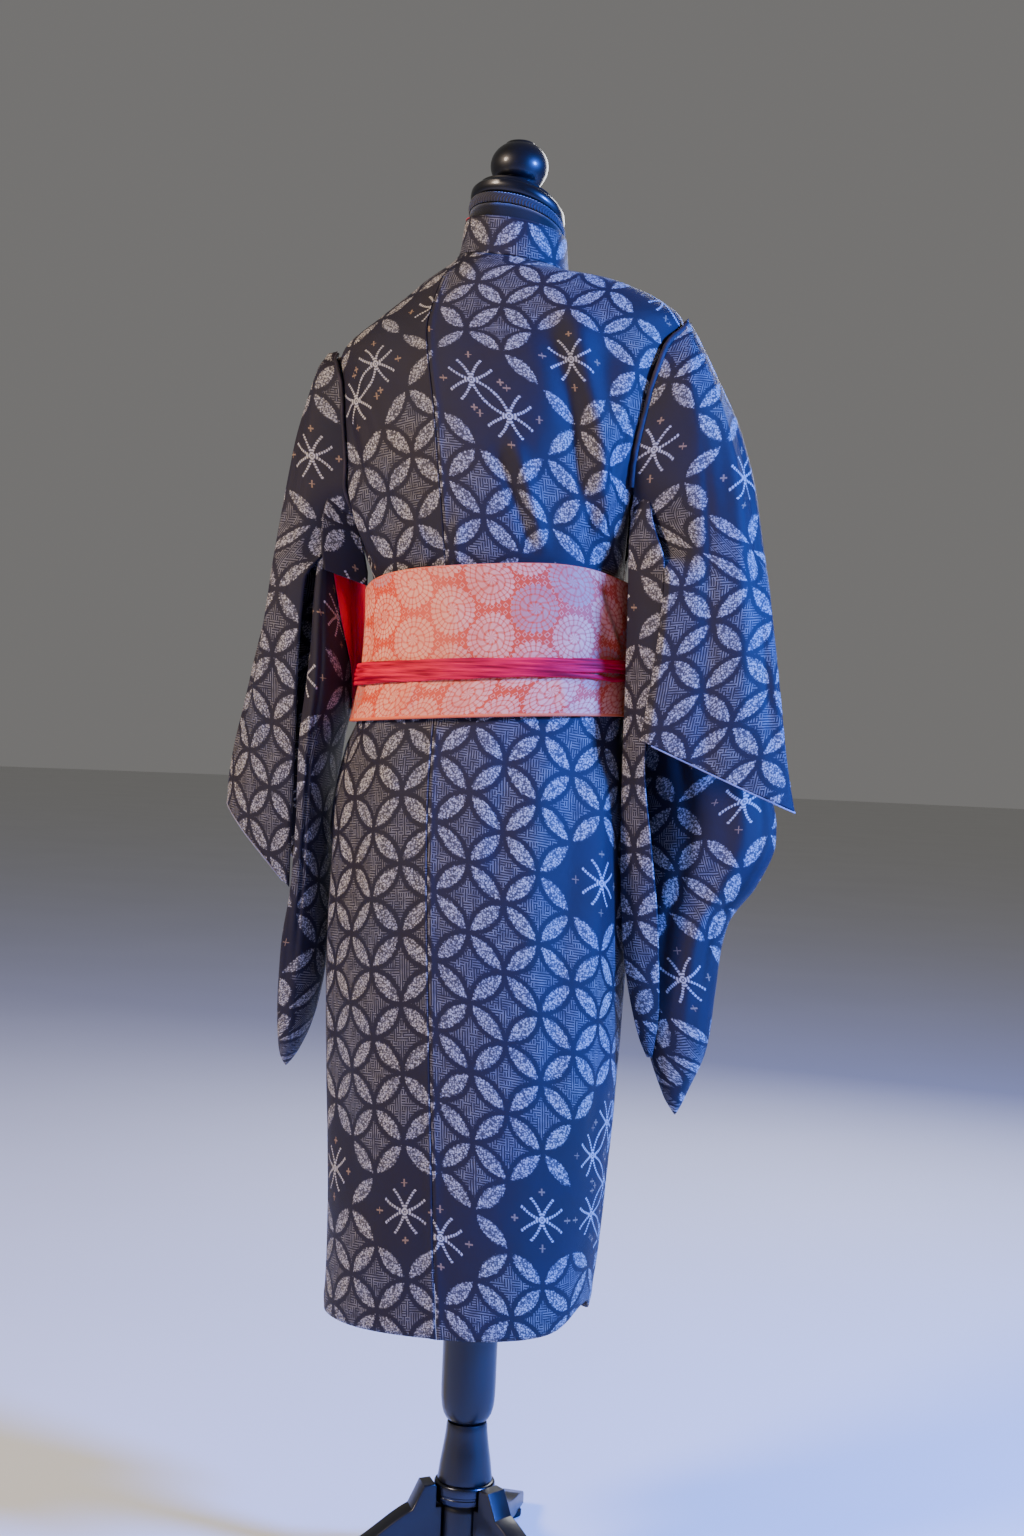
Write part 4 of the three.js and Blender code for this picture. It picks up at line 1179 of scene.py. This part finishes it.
def makeSash():
    whole = bmesh.new()
    for i, pleat in enumerate(sashPleats):
        strand = bmesh.new()
        bmesh.ops.create_grid(strand, x_segments=360, y_segments=14, size=0.5)
        for vertex in strand.verts:
            angle = tau * (vertex.co.x + 0.5)
            turn = tau * (vertex.co.y + 0.5)
            degrees = math.degrees(angle)
            waver = noise.noise(Vector((math.cos(angle) * 4, math.sin(angle) * 4, i * 4)))
            level = belt["sashHeight"] + sampleTurn(pleat["lift"], degrees) + waver
            level += 0.86 * sampleTurn(pleat["tall"], degrees) * math.sin(turn)
            out = belt["wall"] + 0.7 + (2.4 - 0.25 * abs(i - 2) + 0.5 * waver) * (1 + math.cos(turn))
            vertex.co = beltPoint(angle, level, out) * millimetre + standAxis
        bmesh.ops.remove_doubles(strand, verts=strand.verts, dist=0.00001)
        bmesh.ops.recalc_face_normals(strand, faces=strand.faces)
        for face in strand.faces:
            face.smooth = True
        loose = bpy.data.meshes.new("strand")
        strand.to_mesh(loose)
        strand.free()
        whole.from_mesh(loose)
        bpy.data.meshes.remove(loose)
    return finishMesh("sash_strands", whole)


sashBand = dress(makeSash(), sashCrepe, "sash_crepe", "sash")
print("obi and sash made")

# the dress form's body
formRows = table("z side back front", [
    (652, 118, 78, 80),
    (662, 134, 92, 90),
    (740, 140, 104, 98),
    (820, 140, 106, 98),
    (900, 128, 94, 92),
    (980, 114, 82, 88),
    (1040, 110, 80, 90),
    (1110, 118, 86, 102),
    (1190, 134, 94, 114),
    (1260, 150, 92, 104),
    (1310, 162, 82, 88),
    (1334, 156, 72, 74),
    (1356, 124, 63, 61),
    (1378, 88, 57, 52),
    (1404, 62, 53, 47),
    (1436, 52, 50, 45),
    (1478, 49, 48, 45),
])
# the cut of the neck, down to the right and front
neckSlope = {"x": -0.16, "y": -0.3, "from": 1404, "run": 74}


def neckRise(x, y):
    return neckSlope["x"] * x + neckSlope["y"] * y


def formPoint(z, part, grown=0):
    depth = atHeight(formRows, z, "front" if part < 0.5 else "back") + grown
    x = (atHeight(formRows, z, "side") + grown) * rounded(math.cos(tau * part))
    y = depth * rounded(math.sin(tau * part))
    return Vector((x, y, z + neckRise(x, y) * eased((z - neckSlope["from"]) / neckSlope["run"])))


formBody = makeSheet("form_torso", 160, 120, lambda u, v: formPoint(between(formRows, u), v),
                     wrapped=True)
closed = bmesh.new()
closed.from_mesh(formBody.data)
bmesh.ops.holes_fill(closed, edges=closed.edges)
closed.to_mesh(formBody.data)
closed.free()
dress(formBody, blackJersey, "form_jersey", "form_body")


def neckTrim(name, low, high, out, finish):  # a band of trim round the form's neck
    def place(u, v):
        return formPoint(low + (high - low) * u, v, out + 0.8 * math.sin(math.pi * u))

    band = makeSheet(name, 8, 120, place, wrapped=True)
    return dress(band, finish, "form_jersey", thickness=1.2)


neckBraid = neckTrim("neck_braid", 1467.5, 1477, 2.0, plumBraid)
neckVelvet = neckTrim("neck_velvet", 1438, 1466.5, 1.4, blackVelvet)
print("dress form made")


# the turned pieces of the stand, as pairs of radius and height from the foot up
def turnedPiece(name, profile, material, slot, node, slantedTo=0, centre=(0, 0)):
    shape = bmesh.new()
    spots = [shape.verts.new((r, 0, z)) for r, z in profile]
    edges = [shape.edges.new(pair) for pair in zip(spots, spots[1:])]
    bmesh.ops.spin(shape, geom=spots + edges, cent=(0, 0, 0), axis=(0, 0, 1), angle=tau, steps=72,
                   use_merge=True)
    bmesh.ops.remove_doubles(shape, verts=shape.verts, dist=0.0001)
    bmesh.ops.recalc_face_normals(shape, faces=shape.faces)
    for vertex in shape.verts:
        if slantedTo:
            share = eased((slantedTo - vertex.co.z) / 14)
            vertex.co.z += share * neckRise(vertex.co.x, vertex.co.y)
        vertex.co = (vertex.co + Vector((*centre, 0))) * millimetre + standAxis
    for face in shape.faces:
        face.smooth = True
    piece = finishMesh(name, shape)
    piece.data.set_sharp_from_angle(angle=math.radians(38))
    dress(piece, material, slot, node)
    return piece


def arcPoints(radius, tall, height, fromTurn, toTurn, steps):  # a ball's side, by turn in degrees
    points = []
    for i in range(steps + 1):
        turn = math.radians(fromTurn + (toTurn - fromTurn) * i / steps)
        points.append((radius * math.cos(turn), height + tall * math.sin(turn)))
    return points


finial = {"radius": 31, "tall": 26.7, "height": 1533}
capProfile = [(0, 1478.4), (44, 1478.4), (48, 1479.2), (50.5, 1482), (51, 1486), (50.4, 1490),
              (48, 1493), (45, 1495), (43.5, 1496.4), (43, 1498.6), (40, 1500.4), (33, 1503), (28, 1504.6),
              (0, 1504.9)]
ballProfile = [(0, 1505.3), (21, 1505.3), (22.4, 1506.4), (21.6, 1508), (20.4, 1509.4)]
ballProfile += arcPoints(finial["radius"], finial["tall"], finial["height"], -46, 58, 22)
ballProfile += [(15.8, 1556.2), (15.2, 1557.4), (13.4, 1558.6), (9, 1559.3), (0, 1559.6)]
poleProfile = [(0, 181.0), (17, 181.0), (20, 182), (23.4, 185.4), (26.2, 190.6), (28.2, 198), (29.2, 208),
               (29.5, 220), (29.5, 420), (29.1, 560), (29, 651.7), (0, 651.7)]
footProfile = [(0, 118.4), (29.4, 118.4), (29.6, 120.4), (28.9, 125), (27.6, 136), (25.4, 150), (23.6, 162),
               (22.4, 172), (22, 178), (21.2, 180.6), (0, 180.6)]
ringProfile = [(0, 96.4), (30.2, 96.4), (31.8, 97.2), (33, 99), (33, 103.4), (32.2, 104.4), (32.2, 106),
               (33, 107), (33, 115), (32.2, 117), (30.8, 117.9), (0, 117.9)]
hubProfile = [(0, 44), (20, 44), (22.6, 45.4), (26.4, 50), (27, 53), (27, 88), (26.2, 91), (24, 95.8),
              (0, 95.8)]
padProfile = [(0, 0.1), (13.6, 0.1), (14.7, 0.9), (15, 2.2), (15, 6.2), (14.6, 6.9), (0, 6.9)]
turnedPiece("neck_cap_turned", capProfile, blackLacquer, "black_wood", "neck_cap", slantedTo=1600)
turnedPiece("finial_turned", ballProfile, blackLacquer, "black_wood", "finial", slantedTo=1521)
turnedPiece("pole_turned", poleProfile, blackLacquer, "black_wood", "pole")
turnedPiece("pole_foot_turned", footProfile, blackLacquer, "black_wood", "pole_foot")
turnedPiece("hub_ring_turned", ringProfile, turnedMetal, "dark_metal", "hub_ring")
turnedPiece("hub_turned", hubProfile, blackLacquer, "black_wood", "hub")

leg = {"near": 27.3, "reach": 236, "wide": 26, "foot": 7.3, "bevel": 1.6, "top": 118, "padInset": 22}


def legOutline():  # pairs of reach and height round a leg's side
    near, reach, foot = leg["near"], leg["reach"], leg["foot"]
    upper = [(60, 92), (98, 74), (120, 34), (reach - 26, 28)]
    lower = [(reach - 44, foot), (128, 14), (84, 48), (near, 50)]
    outline = [(near, 94), (33.6, 94), (33.6, 115), (36, leg["top"]), (48, leg["top"] - 1)]
    for curve, tail in [(upper, [(reach - 3, 22.8), (reach, 20), (reach, foot)]), (lower, [])]:
        knots = [Vector((*pair, 0)) for pair in curve]
        outline += [(p.x, p.y) for p in interpolate_bezier(*knots, 24)] + tail
    return outline


def makeLeg(name, node, turn):
    board = bmesh.new()
    half = leg["wide"] / 2
    side = board.faces.new([board.verts.new((r, -half, z)) for r, z in legOutline()])
    pulled = bmesh.ops.extrude_face_region(board, geom=[side])
    moved = [item for item in pulled["geom"] if isinstance(item, bmesh.types.BMVert)]
    bmesh.ops.translate(board, verts=moved, vec=(0, leg["wide"], 0))
    bmesh.ops.recalc_face_normals(board, faces=board.faces)
    rims = [e for e in board.edges if abs(abs(e.verts[0].co.y - e.verts[1].co.y)) < 0.01]
    bmesh.ops.bevel(board, geom=rims, offset=leg["bevel"], offset_type="OFFSET", affect="EDGES",
                    segments=3, profile=0.5, material=-1, clamp_overlap=True)
    bmesh.ops.rotate(board, verts=board.verts, cent=(0, 0, 0), matrix=Matrix.Rotation(turn, 3, "Z"))
    for vertex in board.verts:
        vertex.co = vertex.co * millimetre + standAxis
    for face in board.faces:
        face.smooth = True
    piece = finishMesh(name, board)
    piece.data.set_sharp_from_angle(angle=math.radians(32))
    dress(piece, blackLacquer, "black_wood", node)


for i in range(3):
    turn = math.pi / 2 + i * tau / 3
    makeLeg(f"leg_board_{i + 1}", f"leg_{i + 1}", turn)
    reach = leg["reach"] - leg["padInset"]
    padPlace = (reach * math.cos(turn), reach * math.sin(turn))
    turnedPiece(f"foot_pad_{i + 1}", padProfile, rubberPad, "rubber_pad", f"foot_{i + 1}",
                centre=padPlace)
print("stand made")

# each sheet's cut: breadth and length in metres, how it is held, and what it rests on
sheetCuts = [
    (backLeft, (0.19, 1.22), "hung", ["form_torso"]),
    (backRight, (0.24, 1.22), "hung", ["form_torso"]),
    (frontLeft, (0.27, 1.25), "hung", ["form_torso", "front_panel_right"]),
    (frontRight, (0.26, 1.25), "hung", ["form_torso"]),
    (collarStrip, (0.05, 1.32), "folded", ["front_panel_left", "front_panel_right"]),
    (rollLeft, (0.22, 0.52), "hung", ["back_panel_left"]),
    (rollRight, (0.24, 0.54), "hung", ["back_panel_right"]),
    (bagLeft, (0.21, 0.66), "hung", ["sleeve_roll_left"]),
    (bagRight, (0.22, 0.71), "hung", ["sleeve_roll_right"]),
    (sleeveFall, (0.08, 0.63), "hung", ["sleeve_roll_right"]),
    (sleeveGusset, (0.04, 0.12), "hung", ["sleeve_roll_left"]),
    (liningLeft, (0.032, 0.16), "hung", ["back_panel_left"]),
    (liningRight, (0.021, 0.055), "hung", ["back_panel_right"]),
    (sleeveFacing, (0.05, 0.17), "hung", ["sleeve_pouch_left"]),
    (obiBand, (0.16, 0.78), "folded", ["back_panel_left", "back_panel_right"]),
    (sashBand, (0.06, 0.80), "gathered", ["obi_band"]),
    (neckBraid, (0.011, 0.30), "stretched", ["form_torso"]),
    (neckVelvet, (0.031, 0.30), "stretched", ["form_torso"]),
]
for piece, cut, held, under in sheetCuts:
    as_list(under)

# floor, light and camera
floorShape = bmesh.new()
bmesh.ops.create_circle(floorShape, cap_ends=True, segments=96, radius=40)
floorMesh = bpy.data.meshes.new("floor")
floorShape.to_mesh(floorMesh)
floorShape.free()
floor = addObject("floor", floorMesh)


def makePaper():
    material, tree = newMaterial("paleStudioPaper")
    colour = addBlend(tree, addNoise(tree, solidMap(tree), 1.5, 3.0), "#dadad8", "#e2e2e0")
    return finishMaterial(material, {"Base Color": colour, "Roughness": 0.95})


floorMesh.materials.append(makePaper())

studio = {"sky": "#bab8b6", "skyStrength": 0.36}
room = bpy.data.worlds.new("paleRoom")
room.use_nodes = True
background = room.node_tree.nodes["Background"]
background.inputs["Color"].default_value = toLinear(studio["sky"])
background.inputs["Strength"].default_value = studio["skyStrength"]
bpy.context.scene.world = room


def addLamp(name, place, aim, size, power, colour):
    lamp = addObject(name, bpy.data.lights.new(name, "AREA"))
    lamp.data.shape = "DISK"
    lamp.data.size = size
    lamp.data.energy = power
    lamp.data.color = toLinear(colour)[:3]
    lamp.location = place
    lamp.rotation_euler = (Vector(aim) - Vector(place)).to_track_quat("-Z", "Y").to_euler()


addLamp("mainLamp", (-2.2, -2.4, 2.5), (0, 0, 1.0), 0.9, 165, "#ffe8d3")
addLamp("coolLamp", (2.45, -0.6, 1.7), (0.1, 0, 0.85), 0.5, 510, "#4076ff")
addLamp("backLamp", (0.4, 2.6, 2.2), (0, 0, 1.0), 1.6, 60, "#ffffff")

viewing = {"azimuth": 14, "distance": 2.15, "height": 0.915, "aimHeight": 0.888, "aimRight": 0.019,
           "roll": 2.4, "frameTall": 1.655}
turn = math.radians(viewing["azimuth"])
rightward = Vector((math.cos(turn), math.sin(turn), 0))
aim = standAxis + rightward * viewing["aimRight"] + Vector((0, 0, viewing["aimHeight"]))
eye = aim + Vector((math.sin(turn), -math.cos(turn), 0)) * viewing["distance"]
eye.z = viewing["height"]
camera = addObject("camera", bpy.data.cameras.new("camera"))
camera.data.lens = 36 * viewing["distance"] / viewing["frameTall"]
camera.location = eye
looking = (aim - eye).to_track_quat("-Z", "Y").to_matrix()
camera.rotation_euler = (looking @ Matrix.Rotation(math.radians(viewing["roll"]), 3, "Z")).to_euler()
bpy.context.scene.camera = camera
print("camera set")
